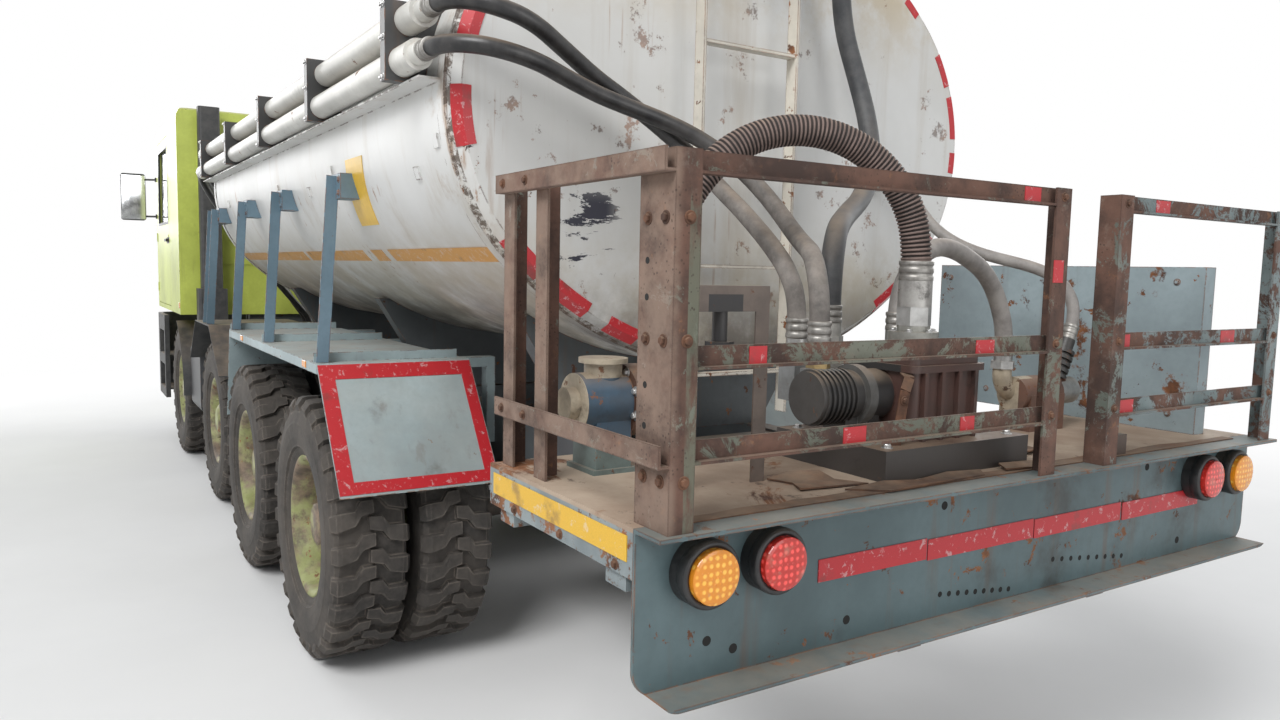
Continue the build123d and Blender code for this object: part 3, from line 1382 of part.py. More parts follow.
dash_line = (
    (cab_front - 180, floor_z), (cab_front - 90, floor_z + 60), (cab_front - 90, floor_z + 640),
    (cab_front - 250, floor_z + 700), (cab_front - 480, floor_z + 640), (cab_front - 430, floor_z + 480),
    (cab_front - 260, floor_z + 400),
)
dash_half_width = cab_half_width - cab_wall - 20
steering_y = 590
steering_radius = 225
steering_rim = 30
steering_spoke = 34
steering_hub = 60
column_radius = 28
with BuildPart() as dashboard:
    side_profile(dash_line, -dash_half_width, dash_half_width)
    wheel_centre = Vector(x_at(cab_front - 640), steering_y, floor_z + 640)
    column_foot = Vector(x_at(cab_front - 400), steering_y, floor_z + 500)
    rod(column_foot, wheel_centre, column_radius)
    with BuildSketch(Plane(origin=wheel_centre, z_dir=(-0.5, 0, 0.866))) as steering:
        Circle(steering_radius)
        Circle(steering_radius - steering_rim, mode=Mode.SUBTRACT)
        Rectangle(2 * steering_radius - steering_rim, steering_spoke)
        Circle(steering_hub)
    extrude(steering.sketch, amount=26)
write(dashboard, "dashboard")

# Mirrors on arms ahead of the door's hinge line
mirror_x = x_at(cab_front - 100)
mirror_z = cab_bottom + 820
mirror_y = cab_half_width + 90
mirror_width = 210
mirror_height = 440
mirror_edge = 24
arm_radius = 9
arm_foot_x = x_at(cab_front - 156)
with BuildPart() as mirrors:
    for side in sides:
        block(
            (mirror_x - 30, mirror_x + 40), span(side, mirror_y, mirror_y + mirror_width),
            (mirror_z, mirror_z + mirror_height),
        )
    fillet(mirrors.edges().filter_by(Axis.X), mirror_edge)
    for side in sides:
        for z in (mirror_z + 40, mirror_z + mirror_height - 50):
            rod((mirror_x, side * (mirror_y + 10), z), (arm_foot_x, side * (cab_half_width + 6), z), arm_radius)
            block(around(arm_foot_x, 16), span(side, cab_half_width, cab_half_width + 12), around(z, 20))
write(mirrors, "mirrors")

# Air intake stack behind the cab's left corner
intake_x = x_at(cab_rear - 150)
intake_y = 1020
intake_box = (80, 110)
intake_duct = (60, 80)
intake_box_top = rail_top + 420
intake_edge = 25
with BuildPart() as intake:
    block(around(intake_x, intake_duct[0]), around(intake_y, intake_duct[1]), (rail_top, cab_top - 60))
    block(around(intake_x, intake_box[0]), around(intake_y, intake_box[1]), (rail_top, intake_box_top))
    fillet(intake.edges().filter_by(Axis.Z), intake_edge)
    block(around(intake_x, 40), (rail_outer_y - rail_flange, intake_y), (rail_top, rail_top + 45))
write(intake, "air_intake")
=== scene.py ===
import math
import random

import bmesh
import bpy
from mathutils import Matrix, Vector


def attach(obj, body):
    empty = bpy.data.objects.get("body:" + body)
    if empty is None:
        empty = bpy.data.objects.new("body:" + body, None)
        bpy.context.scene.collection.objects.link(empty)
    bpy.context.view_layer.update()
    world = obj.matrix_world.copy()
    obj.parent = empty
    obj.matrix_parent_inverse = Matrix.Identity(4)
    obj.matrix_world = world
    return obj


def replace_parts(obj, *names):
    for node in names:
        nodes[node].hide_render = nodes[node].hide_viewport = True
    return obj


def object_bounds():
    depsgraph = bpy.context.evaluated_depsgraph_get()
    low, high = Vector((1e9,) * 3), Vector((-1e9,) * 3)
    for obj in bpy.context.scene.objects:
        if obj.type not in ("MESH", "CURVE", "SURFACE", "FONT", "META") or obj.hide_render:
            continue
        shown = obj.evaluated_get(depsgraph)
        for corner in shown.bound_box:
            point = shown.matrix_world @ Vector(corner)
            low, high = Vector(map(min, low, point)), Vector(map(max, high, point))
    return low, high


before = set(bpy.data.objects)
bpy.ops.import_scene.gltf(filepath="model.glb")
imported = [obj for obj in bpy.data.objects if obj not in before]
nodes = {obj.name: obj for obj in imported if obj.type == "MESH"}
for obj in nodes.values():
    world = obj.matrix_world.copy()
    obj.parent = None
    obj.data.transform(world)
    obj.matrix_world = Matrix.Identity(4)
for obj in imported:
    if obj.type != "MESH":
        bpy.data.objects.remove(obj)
cad_box = [list(corner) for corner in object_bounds()]
random.seed(7)

# Sizes in metres, in the frame of the solids: +X forward, +Y left, +Z up
rear_face = cad_box[0][0]
tyre_radius = 0.562
twin_spacing = 0.356
tandem_stations = (2.680, 4.080)
steered_stations = (7.680, 5.750)
twin_outer_y = 1.112
steered_y = 1.040
tank_rear = 1.260
tank_half_width, tank_half_height = 1.130, 0.870
tank_centre_z = 2.210
tank_side_radius, tank_crown_radius = 0.700, 1.32882
side_centre_y = tank_half_width - tank_side_radius
crown_drop = tank_crown_radius - tank_half_height
deck_top = 1.190
deck_half_width = 1.200
fender_half = 1.250
cab_half = 1.240
bumper_depth = 0.095
bumper_wall = 0.009
sides = (1, -1)
hands = {1: "left", -1: "right"}
leftward, rightward, rearward, upward = (0, 1, 0), (0, -1, 0), (-1, 0, 0), (0, 0, 1)


def x_at(station):
    """X of a distance forward of the rear face."""
    return rear_face + station


def on_deck(station, y, height):
    """A point over the rear platform, by its height above the plate."""
    return (x_at(station), y, deck_top + height)


def flank_y(z):
    """The tank's half width at a height."""
    rise = abs(z - tank_centre_z)
    side = side_centre_y + math.sqrt(max(0, tank_side_radius**2 - rise**2))
    crown = math.sqrt(max(0, tank_crown_radius**2 - (rise + crown_drop) ** 2))
    return side if rise * side_centre_y < crown_drop * (side - side_centre_y) else crown


def circle(radius, count, offset=0.0):
    """Points round a circle, as two distances from its middle."""
    angles = [2 * math.pi * (index + offset) / count for index in range(count)]
    return [(radius * math.cos(angle), radius * math.sin(angle)) for angle in angles]


def add_object(name, data):
    obj = bpy.data.objects.new(name, data)
    bpy.context.scene.collection.objects.link(obj)
    return obj


def join(tree, value, socket):
    """Links another node's output to a socket, or sets a plain value on it."""
    if isinstance(value, bpy.types.NodeSocket):
        tree.links.new(value, socket)
    else:
        socket.default_value = value


def add_node(tree, kind, inputs, operation=None):
    """A shader node with its inputs, by name or place, linked or set. Gives its outputs."""
    node = tree.nodes.new("ShaderNode" + kind)
    if operation:
        node.operation = operation
    for key, value in inputs.items():
        join(tree, value, node.inputs[key])
    return node.outputs


# Camera, solved from the photograph's vanishing points
camera_place = Vector((x_at(-1.403), 2.145, 1.69))
camera_look = Vector((0.83992, -0.53422, -0.09567))
camera_up = Vector((0.09215, -0.03333, 0.99519))
camera_lens = 26.15


def make_camera():
    data = bpy.data.cameras.new("camera")
    data.lens = camera_lens
    data.sensor_width = 36
    data.clip_end = 200
    right = camera_look.cross(camera_up).normalized()
    up = right.cross(camera_look).normalized()
    turn = Matrix((right, up, -camera_look.normalized())).transposed()
    camera = add_object("camera", data)
    camera.matrix_world = Matrix.Translation(camera_place) @ turn.to_4x4()
    bpy.context.scene.camera = camera


# Name, place, target, size and power of each soft light
lights = (
    ("key", (-7, 7, 9), (0, 0, 1.2), 5, 1000),
    ("rear_fill", (-12, -1, 3.5), (-2, 0, 1.2), 5, 170),
    ("right_fill", (2, -12, 6), (0, 0, 1.2), 7, 620),
    ("front_fill", (12, 4, 5), (2, 0, 1.5), 6, 560),
)


def make_light():
    """A broad key from the rear left, fills from the other sides and a pale world."""
    for name, place, target, size, power in lights:
        data = bpy.data.lights.new(name, "AREA")
        data.energy = power
        data.size = size
        light = add_object(name, data)
        light.location = place
        light.rotation_euler = (Vector(target) - Vector(place)).to_track_quat("-Z", "Y").to_euler()
    world = bpy.data.worlds.new("world")
    bpy.context.scene.world = world
    world.use_nodes = True
    tree = world.node_tree
    tree.nodes.clear()
    rays = add_node(tree, "LightPath", {})
    seen = add_node(tree, "Math", {0: rays["Is Camera Ray"], 1: rays["Is Glossy Ray"]}, "MAXIMUM")[0]
    seen = add_node(tree, "Math", {0: seen, 1: rays["Is Transmission Ray"]}, "MAXIMUM")[0]
    soft = add_node(tree, "Background", {"Color": (0.93, 0.96, 1.0, 1), "Strength": 0.40})[0]
    white = add_node(tree, "Background", {"Color": (1, 1, 1, 1), "Strength": 1.0})[0]
    both = add_node(tree, "MixShader", {0: seen, 1: soft, 2: white})[0]
    add_node(tree, "OutputWorld", {"Surface": both})
    bpy.context.scene.view_settings.view_transform = "Standard"


# Materials

def as_colour(value):
    return value if isinstance(value, bpy.types.NodeSocket) else (*value, 1)


class Finish:
    """One node material on the surface's rest coordinates, its tone laid on layer by layer."""

    def __init__(self, name, roughness=0.5, metallic=0.0, coat=0.0):
        self.material = bpy.data.materials.new(name)
        self.material.use_nodes = True
        self.tree = self.material.node_tree
        self.shader = self.tree.nodes["Principled BSDF"]
        for key, value in (("Roughness", roughness), ("Metallic", metallic), ("Coat Weight", coat)):
            self.shader.inputs[key].default_value = value
        self.place = self.node("TexCoord", {})["Object"]
        self.x, self.y, self.z = self.node("SeparateXYZ", {0: self.place})
        self.tone = (0.5, 0.5, 0.5)

    def node(self, kind, inputs, operation=None):
        return add_node(self.tree, kind, inputs, operation)

    def noise(self, scale, detail=5, rough=0.6, stretch=(1, 1, 1), shift=0.0, warp=0.0):
        moved = (shift, shift * 1.7, shift * 2.3)
        spread = self.node("Mapping", {"Vector": self.place, "Scale": stretch, "Location": moved})[0]
        inputs = {"Vector": spread, "Scale": scale, "Detail": detail, "Roughness": rough, "Distortion": warp}
        return self.node("TexNoise", inputs)["Fac"]

    def cells(self, scale, randomness=1.0):
        inputs = {"Vector": self.place, "Scale": scale, "Randomness": randomness}
        return self.node("TexVoronoi", inputs)["Distance"]

    def ramp(self, value, low, high, bottom=0.0, top=1.0):
        """value from low to high, read as bottom to top, smooth and held at the ends."""
        node = self.tree.nodes.new("ShaderNodeMapRange")
        node.interpolation_type = "SMOOTHSTEP"
        for socket, given in zip(node.inputs, (value, low, high, bottom, top)):
            join(self.tree, given, socket)
        return node.outputs["Result"]

    def spots(self, low, high, *grain, bottom=0.0, top=1.0, **how):
        """A ramp over noise, for a share that comes and goes in patches."""
        return self.ramp(self.noise(*grain, **how), low, high, bottom, top)

    def sum(self, kind, first, second):
        return self.node("Math", {0: first, 1: second}, kind)[0]

    def both(self, first, second):
        return self.sum("MULTIPLY", first, second)

    def most(self, first, second):
        return self.sum("MAXIMUM", first, second)

    def mix(self, share, first, second):
        node = self.tree.nodes.new("ShaderNodeMix")
        node.data_type = "RGBA"
        for place, value in ((0, share), (6, as_colour(first)), (7, as_colour(second))):
            join(self.tree, value, node.inputs[place])
        return node.outputs[2]

    def tones(self, first, second, *patches, **how):
        """Two colours mixed in patches."""
        return self.mix(self.spots(*patches, **how), first, second)

    def layer(self, share, tone):
        """Lays a colour over the tone so far."""
        self.tone = self.mix(share, self.tone, tone)

    def level(self, share, first, second):
        """A number between two others."""
        return self.node("Mix", {0: share, 2: first, 3: second})[0]

    def zone(self, low, high):
        """1 inside a box of the shared frame and 0 outside it. None leaves a side open."""
        inside = None
        for socket, first, last in zip((self.x, self.y, self.z), low, high):
            for kind, limit in (("GREATER_THAN", first), ("LESS_THAN", last)):
                if limit is not None:
                    test = self.sum(kind, socket, limit)
                    inside = test if inside is None else self.both(inside, test)
        return inside

    def facing_up(self, low=0.3, high=0.9):
        normal = self.node("NewGeometry", {})["Normal"]
        return self.ramp(self.node("SeparateXYZ", {0: normal})[2], low, high)

    def settle(self, tone, *patches, up=(0.3, 0.9), **how):
        """Lays dust of a tone on what faces up."""
        self.layer(self.both(self.facing_up(*up), self.spots(*patches, **how)), tone)

    def edges(self, radius=0.006):
        """1 near a sharp edge, from the surface's own normal against its rounded one."""
        soft = self.tree.nodes.new("ShaderNodeBevel")
        soft.samples = 3
        soft.inputs["Radius"].default_value = radius
        normal = self.node("NewGeometry", {})["Normal"]
        likeness = self.node("VectorMath", {0: soft.outputs[0], 1: normal}, "DOT_PRODUCT")["Value"]
        return self.ramp(likeness, 0.999, 0.93)

    def done(self, rough=None, height=None, strength=0.3, distance=0.002):
        """Sets the tone, and the roughness and bump where given, on the shader."""
        join(self.tree, as_colour(self.tone), self.shader.inputs["Base Color"])
        if rough is not None:
            join(self.tree, rough, self.shader.inputs["Roughness"])
        if height is not None:
            inputs = {"Strength": strength, "Distance": distance, "Height": height}
            join(self.tree, self.node("Bump", inputs)[0], self.shader.inputs["Normal"])
        return self.material


rust_dark = (0.075, 0.033, 0.020)
rust_warm = (0.26, 0.105, 0.042)
dust = (0.36, 0.27, 0.19)
grime = (0.030, 0.026, 0.022)
silver = (0.50, 0.50, 0.49)
cream = (0.56, 0.48, 0.36)
brass = (0.42, 0.31, 0.15)


def scaled(tone, factor, lift=0.0):
    return tuple(min(1, channel * factor + lift) for channel in tone)


def rust_tone(finish, shift=0.0):
    """Rust from dark brown to orange, in patches and grains."""
    return finish.tones(rust_dark, rust_warm, 0.38, 0.62, 9, 8, 0.65, shift=shift)


def worn_paint(name, paint, chips, rust, edge, dirt, dusty, roughness=0.45, streaks=0.4):
    """Old paint, faded, chipped, rusted at its edges, streaked and dusty, each by a share from 0 to 1."""
    finish = Finish(name, roughness)
    dull = scaled(paint, 0.74)
    finish.tone = finish.tones(dull, scaled(paint, 1.12, 0.02), 0.3, 0.7, 1.6, 6)
    finish.layer(finish.spots(0.35, 0.7, 42, 4, top=0.22), dull)
    drips = finish.spots(0.62 - 0.12 * streaks, 0.74, 16, 6, stretch=(1, 1, 0.08), top=0.75 * streaks)
    finish.layer(drips, (0.12, 0.075, 0.05))
    grain = finish.noise(11, 9, 0.72, warp=0.3)
    chipped = finish.ramp(grain, 0.72 - 0.18 * chips, 0.735 - 0.18 * chips)
    rusted = finish.spots(0.76 - 0.26 * rust, 0.80 - 0.26 * rust, 3.2, 9, 0.7, shift=4)
    worn = finish.most(chipped, rusted)
    if edge:
        broken = finish.spots(0.64 - 0.3 * edge, 0.70 - 0.3 * edge, 23, 6, shift=9)
        worn = finish.most(worn, finish.both(finish.edges(), broken))
    finish.layer(worn, rust_tone(finish))
    finish.layer(finish.spots(0.66 - 0.2 * dirt, 0.86 - 0.2 * dirt, 2.4, 8, 0.65, shift=2, top=0.8), grime)
    finish.settle(dust, 0.2, 0.7, 5, 6, shift=6, bottom=0.2 * dusty, top=0.95 * dusty)
    rough = finish.most(finish.ramp(worn, 0, 1, roughness, 0.85), finish.both(finish.facing_up(), 0.75))
    return finish.done(rough, finish.sum("SUBTRACT", finish.both(grain, 0.25), worn), 0.35, 0.0012)


def plain_finish(name, base, other, scale, roughness=0.5, metallic=0.0, dusty=0.4, bump=0.2):
    """A material of two near tones with grain, dust on what faces up and a fine bump."""
    finish = Finish(name, roughness, metallic)
    grain = finish.noise(scale, 6, 0.65)
    finish.tone = finish.mix(finish.ramp(grain, 0.3, 0.7), base, other)
    finish.settle(dust, 0.25, 0.75, 6, 6, shift=3, bottom=0.1 * dusty, top=dusty)
    rough = finish.ramp(grain, 0.2, 0.8, roughness * 0.85, min(1, roughness * 1.2))
    return finish.done(rough, grain, bump, 0.001)


def rusty_angle():
    """Rolled angle gone to brown rust, with dusty red patches and what is left of its green-blue paint."""
    finish = Finish("rusty_angle", 0.8)
    finish.tone = finish.tones((0.050, 0.030, 0.024), (0.145, 0.076, 0.054), 0.35, 0.65, 6, 8, 0.65)
    finish.layer(finish.spots(0.60, 0.72, 19, 8, 0.7, shift=3, top=0.7), (0.26, 0.120, 0.055))
    right_side = finish.ramp(finish.y, -0.15, -0.45)
    green = finish.tones((0.090, 0.105, 0.078), (0.170, 0.185, 0.145), 0.3, 0.7, 4, 5, shift=7)
    blue = finish.tones((0.105, 0.150, 0.155), (0.200, 0.255, 0.260), 0.3, 0.7, 5, 5, shift=9)
    grain = finish.noise(9, 12, 0.80, warp=0.6, shift=1)
    # The rails over the platform keep more of their paint than the corner post and the top rail
    railed = finish.zone((None, None, deck_top + 0.10), (x_at(0.05), 1.10, deck_top + 0.36))
    left_over = finish.most(finish.both(right_side, 0.085), finish.both(railed, 0.075))
    kept = finish.ramp(finish.sum("ADD", grain, left_over), 0.575, 0.615)
    finish.layer(finish.both(kept, 0.88), finish.mix(right_side, green, blue))
    finish.layer(finish.spots(0.56, 0.70, 14, 7, 0.7, shift=12, top=0.36), (0.235, 0.185, 0.150))
    finish.settle((0.25, 0.185, 0.135), 0.25, 0.7, 7, 5, shift=5, bottom=0.2, top=0.7)
    patches = finish.spots(0.30, 0.62, 8, 9, 0.7, shift=15, bottom=0.1, top=0.75)
    finish.layer(finish.both(finish.ramp(finish.y, 1.150, 1.172), patches), (0.270, 0.190, 0.145))
    patches = finish.spots(0.44, 0.56, 6, 10, 0.75, stretch=(1, 1, 0.3), shift=16, top=0.8)
    inner = finish.zone((None, 1.100, None), (x_at(0.10), 1.140, None))
    finish.layer(finish.both(inner, patches), (0.140, 0.150, 0.110))
    pitted = finish.both(finish.ramp(finish.cells(85), 0.26, 0.14), finish.spots(0.45, 0.6, 5, 5, shift=19))
    finish.layer(finish.both(pitted, 0.7), (0.040, 0.024, 0.018))
    finish.layer(finish.both(finish.edges(0.005), 0.65), (0.055, 0.030, 0.022))
    rough = finish.level(kept, 0.88, 0.55)
    return finish.done(rough, finish.sum("ADD", grain, finish.both(kept, 0.12)), 0.5, 0.003)


def machine_finish(name, base, zones, rust, oil, dusty):
    """Castings and fittings, each box of the frame in its own colour and metal, all rusty, oily and dusty."""
    finish = Finish(name, 0.55)
    finish.tone = base
    metal = 0.0
    for low, high, colour, metallic in zones:
        inside = finish.zone(low, high)
        finish.layer(inside, colour)
        metal = finish.level(inside, metal, metallic)
    join(finish.tree, metal, finish.shader.inputs["Metallic"])
    finish.layer(finish.spots(0.3, 0.72, 13, 7, 0.65, top=0.5), (0.045, 0.038, 0.032))
    grain = finish.noise(16, 10, 0.75, shift=5, warp=0.3)
    rusted = finish.ramp(grain, 0.70 - 0.22 * rust, 0.73 - 0.22 * rust, 0, 0.9)
    finish.layer(rusted, rust_tone(finish, 3))
    soaked = finish.spots(0.70 - 0.22 * oil, 0.82 - 0.22 * oil, 5, 8, 0.7, shift=8, top=0.8)
    finish.layer(soaked, (0.022, 0.018, 0.016))
    finish.settle(dust, 0.25, 0.7, 8, 6, shift=6, bottom=0.25 * dusty, top=dusty, up=(0.4, 0.95))
    rough = finish.level(rusted, 0.46, 0.85)
    return finish.done(rough, finish.sum("SUBTRACT", grain, finish.both(rusted, 0.3)), 0.35, 0.0016)


def hose_finish():
    """Black rubber, shiny over the head and grey-tan with dust down by the pump."""
    finish = Finish("hose_rubber", 0.36)
    finish.tone = finish.tones((0.012, 0.012, 0.013), (0.040, 0.038, 0.037), 0.3, 0.7, 22, 6, 0.65)
    tan = finish.tones((0.125, 0.112, 0.102), (0.270, 0.245, 0.222), 0.3, 0.7, 12, 8, 0.7, shift=2)
    low = finish.both(finish.ramp(finish.z, 2.16, 1.86), finish.ramp(finish.x, x_at(1.40), x_at(1.20)))
    dusted = finish.spots(0.25, 0.6, 7, 8, 0.7, shift=5, bottom=0.55, top=0.95)
    finish.layer(finish.both(low, dusted), tan)
    finish.settle(dust, 0.3, 0.7, 6, 6, shift=3, bottom=0.05, top=0.42)
    return finish.done(finish.level(low, 0.36, 0.8), finish.noise(24, 6), 0.2, 0.001)


def deck_finish():
    """Tan dust over rusted plate on top, worn grey paint on the beams below."""
    finish = Finish("deck_finish", 0.85)
    finish.tone = finish.tones((0.300, 0.215, 0.155), (0.470, 0.375, 0.285), 0.32, 0.70, 3.2, 8, 0.62)
    bare = finish.spots(0.56, 0.62, 2.1, 10, 0.72, shift=3, warp=0.5)
    finish.layer(bare, rust_tone(finish, 1))
    finish.layer(finish.spots(0.60, 0.68, 11, 9, 0.75, shift=8, top=0.8), (0.075, 0.050, 0.038))
    grey = finish.tones((0.17, 0.20, 0.21), (0.30, 0.34, 0.345), 0.3, 0.7, 5, 7)
    beam = finish.mix(finish.spots(0.52, 0.56, 12, 10, 0.75, shift=4), grey, rust_tone(finish, 6))
    upper = finish.ramp(finish.z, deck_top - 0.012, deck_top - 0.008)
    finish.tone = finish.mix(upper, beam, finish.tone)
    return finish.done(finish.ramp(bare, 0, 1, 0.78, 0.92), finish.noise(30, 10, 0.75), 0.5, 0.002)


def tank_paint():
    """White paint over steel: rust drips on the rear head, yellowed dirt above, stains below, and a dark band
    of painted shade on the belly.
    """
    finish = Finish("tank_paint", 0.42)
    finish.tone = finish.tones((0.570, 0.566, 0.545), (0.690, 0.692, 0.680), 0.3, 0.72, 0.9, 6)
    drips = finish.spots(0.52, 0.74, 7, 7, 0.62, stretch=(1, 1, 0.06), warp=0.2, top=0.42)
    finish.layer(drips, (0.40, 0.34, 0.26))
    thin = finish.spots(0.60, 0.70, 30, 5, stretch=(1, 1, 0.035), shift=5)
    finish.layer(finish.both(thin, finish.spots(0.50, 0.66, 1.7, 5, shift=8)), (0.29, 0.140, 0.060))
    # Heights from the tank's middle where the yellow, the cream dirt and the painted shade under the belly
    # begin and are full
    for begin, full, patches, share, tone in (
        (0.18, 0.66, (0.36, 0.60, 3.4, 9, 0.7, (1, 1, 1), 3), 0.74, (0.44, 0.34, 0.19)),
        (-0.25, -0.60, (0.30, 0.65, 3.1, 8, 0.7, (1, 1, 1), 24), 0.8, (0.44, 0.385, 0.290)),
        # The last row is painted shade: a near-black band on the underside of the tank
        (-0.46, -0.84, (0.28, 0.62, 4.2, 8, 0.7, (1, 1, 1), 1), 0.9, (0.085, 0.070, 0.058)),
    ):
        height = finish.ramp(finish.z, tank_centre_z + begin, tank_centre_z + full)
        finish.layer(finish.both(finish.both(height, finish.spots(*patches)), share), tone)
    rear = finish.ramp(finish.x, x_at(tank_rear + 0.075), x_at(tank_rear + 0.055))
    rim = finish.both(finish.spots(0.60, 0.64, 6.5, 9, 0.75, shift=7), rear)
    finish.layer(finish.both(rim, 0.7), rust_tone(finish, 2))
    # Scraped paint at the left of the rear head, and its rust-brown left edge
    scuffed = finish.both(rear, finish.zone((None, 0.55, 1.66), (None, 0.90, 1.99)))
    worn_edge = finish.both(rear, finish.ramp(finish.y, 0.93, 1.08))
    scraped = finish.most(finish.both(scuffed, 0.10), finish.both(worn_edge, 0.125))
    grain = finish.noise(9, 10, 0.78, shift=11, warp=0.5)
    chips = finish.ramp(finish.sum("ADD", grain, scraped), 0.715, 0.727)
    finish.layer(chips, finish.tones((0.030, 0.026, 0.032), rust_warm, 0.4, 0.6, 25, 4))
    run = finish.spots(0.50, 0.64, 21, 6, stretch=(1, 1, 0.10), shift=2, top=0.75)
    finish.layer(finish.both(worn_edge, run), (0.30, 0.17, 0.085))
    edges = finish.both(finish.edges(0.008), finish.spots(0.46, 0.54, 14, 7, shift=13))
    finish.layer(edges, rust_dark)
    # Dark scuffs on the head beside the corner post
    across = finish.both(finish.ramp(finish.y, 0.48, 0.60), finish.ramp(finish.y, 0.95, 0.80))
    upright = finish.both(finish.ramp(finish.z, 1.58, 1.70), finish.ramp(finish.z, 2.06, 1.90))
    near = finish.both(finish.both(across, upright), rear)
    streaky = finish.noise(6.5, 9, 0.72, stretch=(1, 0.45, 1.7), shift=21, warp=0.4)
    scuffs = finish.ramp(finish.sum("ADD", streaky, finish.both(near, 0.12)), 0.672, 0.684)
    finish.layer(finish.both(scuffs, near), (0.020, 0.020, 0.034))
    seam = finish.zone((x_at(tank_rear + 0.030), None, None), (x_at(tank_rear + 0.054), None, None))
    broken = finish.spots(0.47, 0.53, 21, 10, 0.8, shift=17, warp=0.5)
    finish.layer(finish.both(finish.both(seam, broken), 0.9), (0.085, 0.058, 0.040))
    behind = finish.zone((x_at(tank_rear + 0.058), 0.2, None), (x_at(tank_rear + 0.22), None, None))
    patches = finish.spots(0.50, 0.70, 5.5, 9, 0.72, shift=18, top=0.65)
    finish.layer(finish.both(behind, patches), (0.33, 0.235, 0.150))
    ripple = finish.both(finish.noise(2.2, 3, 0.5), 0.6)
    rough = finish.ramp(finish.most(chips, edges), 0, 1, 0.44, 0.85)
    return finish.done(rough, finish.sum("SUBTRACT", ripple, finish.both(chips, 0.06)), 0.28, 0.02)


def tyre_rubber():
    """Rubber with pale brown dust in the sidewall's and the tread's hollows."""
    finish = Finish("tyre_rubber", 0.85)
    grain = finish.noise(26, 8, 0.7)
    finish.tone = finish.mix(finish.ramp(grain, 0.3, 0.7), (0.018, 0.017, 0.016), (0.046, 0.041, 0.037))
    dusty = finish.spots(0.30, 0.70, 3.5, 7, 0.65, shift=4, bottom=0.06, top=0.54)
    finish.layer(dusty, (0.118, 0.100, 0.084))
    rub = finish.both(finish.edges(0.010), finish.spots(0.4, 0.6, 12, 5, shift=2))
    finish.layer(finish.both(rub, 0.6), (0.22, 0.185, 0.155))
    return finish.done(None, grain, 0.35, 0.0016)


def wheel_paint():
    """Faded lime paint with brown dirt and rust over it in patches."""
    finish = Finish("wheel_paint", 0.6)
    finish.tone = finish.tones((0.235, 0.255, 0.085), (0.385, 0.400, 0.190), 0.3, 0.7, 7, 6)
    mud = finish.tones((0.10, 0.075, 0.055), (0.25, 0.18, 0.125), 0.35, 0.65, 15, 8, shift=2)
    finish.layer(finish.spots(0.40, 0.58, 5, 9, 0.7, shift=6), mud)
    finish.layer(finish.spots(0.60, 0.63, 18, 8, 0.7, shift=9), rust_tone(finish))
    return finish.done(None, finish.noise(40, 6), 0.3, 0.0012)


def reflective_tape(name, tone, torn=0.5):
    """Retroreflective tape: a fine grid in the film, scuffed and torn through to paint in places."""
    finish = Finish(name, 0.38)
    finish.tone = tone
    cells = finish.ramp(finish.cells(320), 0.1, 0.6)
    finish.layer(finish.both(cells, 0.35), scaled(tone, 0.72))
    scuffs = finish.spots(0.62 - 0.08 * torn, 0.64 - 0.08 * torn, 34, 9, 0.75, warp=0.5)
    finish.layer(finish.both(scuffs, 0.8), scaled(tone, 0.5, 0.30))
    finish.layer(finish.spots(0.56, 0.70, 9, 8, shift=5, top=0.55), (0.10, 0.05, 0.04))
    return finish.done(None, cells, 0.08, 0.0005)


def lens(name, tone):
    """A moulded lens with rings of round light sources showing through."""
    finish = Finish(name, 0.22, coat=0.4)
    dots = finish.cells(62, 0.18)
    finish.tone = finish.mix(finish.ramp(dots, 0.42, 0.16), tone, scaled(tone, 1.9, 0.05))
    finish.layer(finish.spots(0.55, 0.75, 30, 6, top=0.4), dust)
    return finish.done(None, dots, 0.3, 0.001)


def glass_finish(name, tone, clear):
    finish = Finish(name, 0.08)
    haze = finish.spots(0.35, 0.75, 4, 7)
    finish.tone = finish.mix(finish.both(haze, 0.35), tone, (0.42, 0.38, 0.32))
    finish.shader.inputs["Transmission Weight"].default_value = clear
    return finish.done(finish.ramp(haze, 0, 1, 0.05, 0.30))


def zone_rows(*rows):
    """Boxes over the platform: first and last station, right, left, low, high, colour and metal."""
    return [
        ((x_at(first), right, deck_top + low), (x_at(last), left, deck_top + high), colour, metal)
        for first, last, right, left, low, high, colour, metal in rows
    ]


# Colour and metal of each fitting on the platform; a later row covers an earlier one
pump_zones = zone_rows(
    (0.10, 0.60, -0.12, 0.48, -0.01, 0.078, (0.050, 0.043, 0.040), 0.0),
    (0.24, 0.42, 0.30, 0.58, 0.10, 0.28, (0.026, 0.026, 0.027), 0.0),
    (0.20, 0.46, 0.366, 0.404, 0.06, 0.30, (0.150, 0.150, 0.145), 0.3),
    (0.24, 0.42, 0.532, 0.60, 0.10, 0.28, (0.085, 0.080, 0.076), 0.2),
    (0.25, 0.41, 0.08, 0.25, 0.300, 0.368, (0.36, 0.36, 0.33), 0.5),
    (0.25, 0.41, 0.08, 0.25, 0.368, 0.418, silver, 0.9),
    (0.25, 0.41, 0.08, 0.25, 0.418, 0.50, (0.44, 0.43, 0.41), 0.7),
    (0.31, 0.39, 0.45, 0.53, 0.15, 0.262, (0.24, 0.25, 0.25), 0.4),
    (0.45, 0.53, 0.40, 0.48, 0.15, 0.262, (0.24, 0.25, 0.25), 0.4),
    (0.31, 0.39, 0.45, 0.53, 0.262, 0.34, brass, 0.85),
    (0.45, 0.53, 0.40, 0.48, 0.262, 0.34, silver, 0.85),
    (0.57, 0.67, 0.15, 0.25, 0.20, 0.37, (0.62, 0.61, 0.57), 0.2),
    (0.43, 0.51, 0.03, 0.12, 0.27, 0.35, silver, 0.85),
)
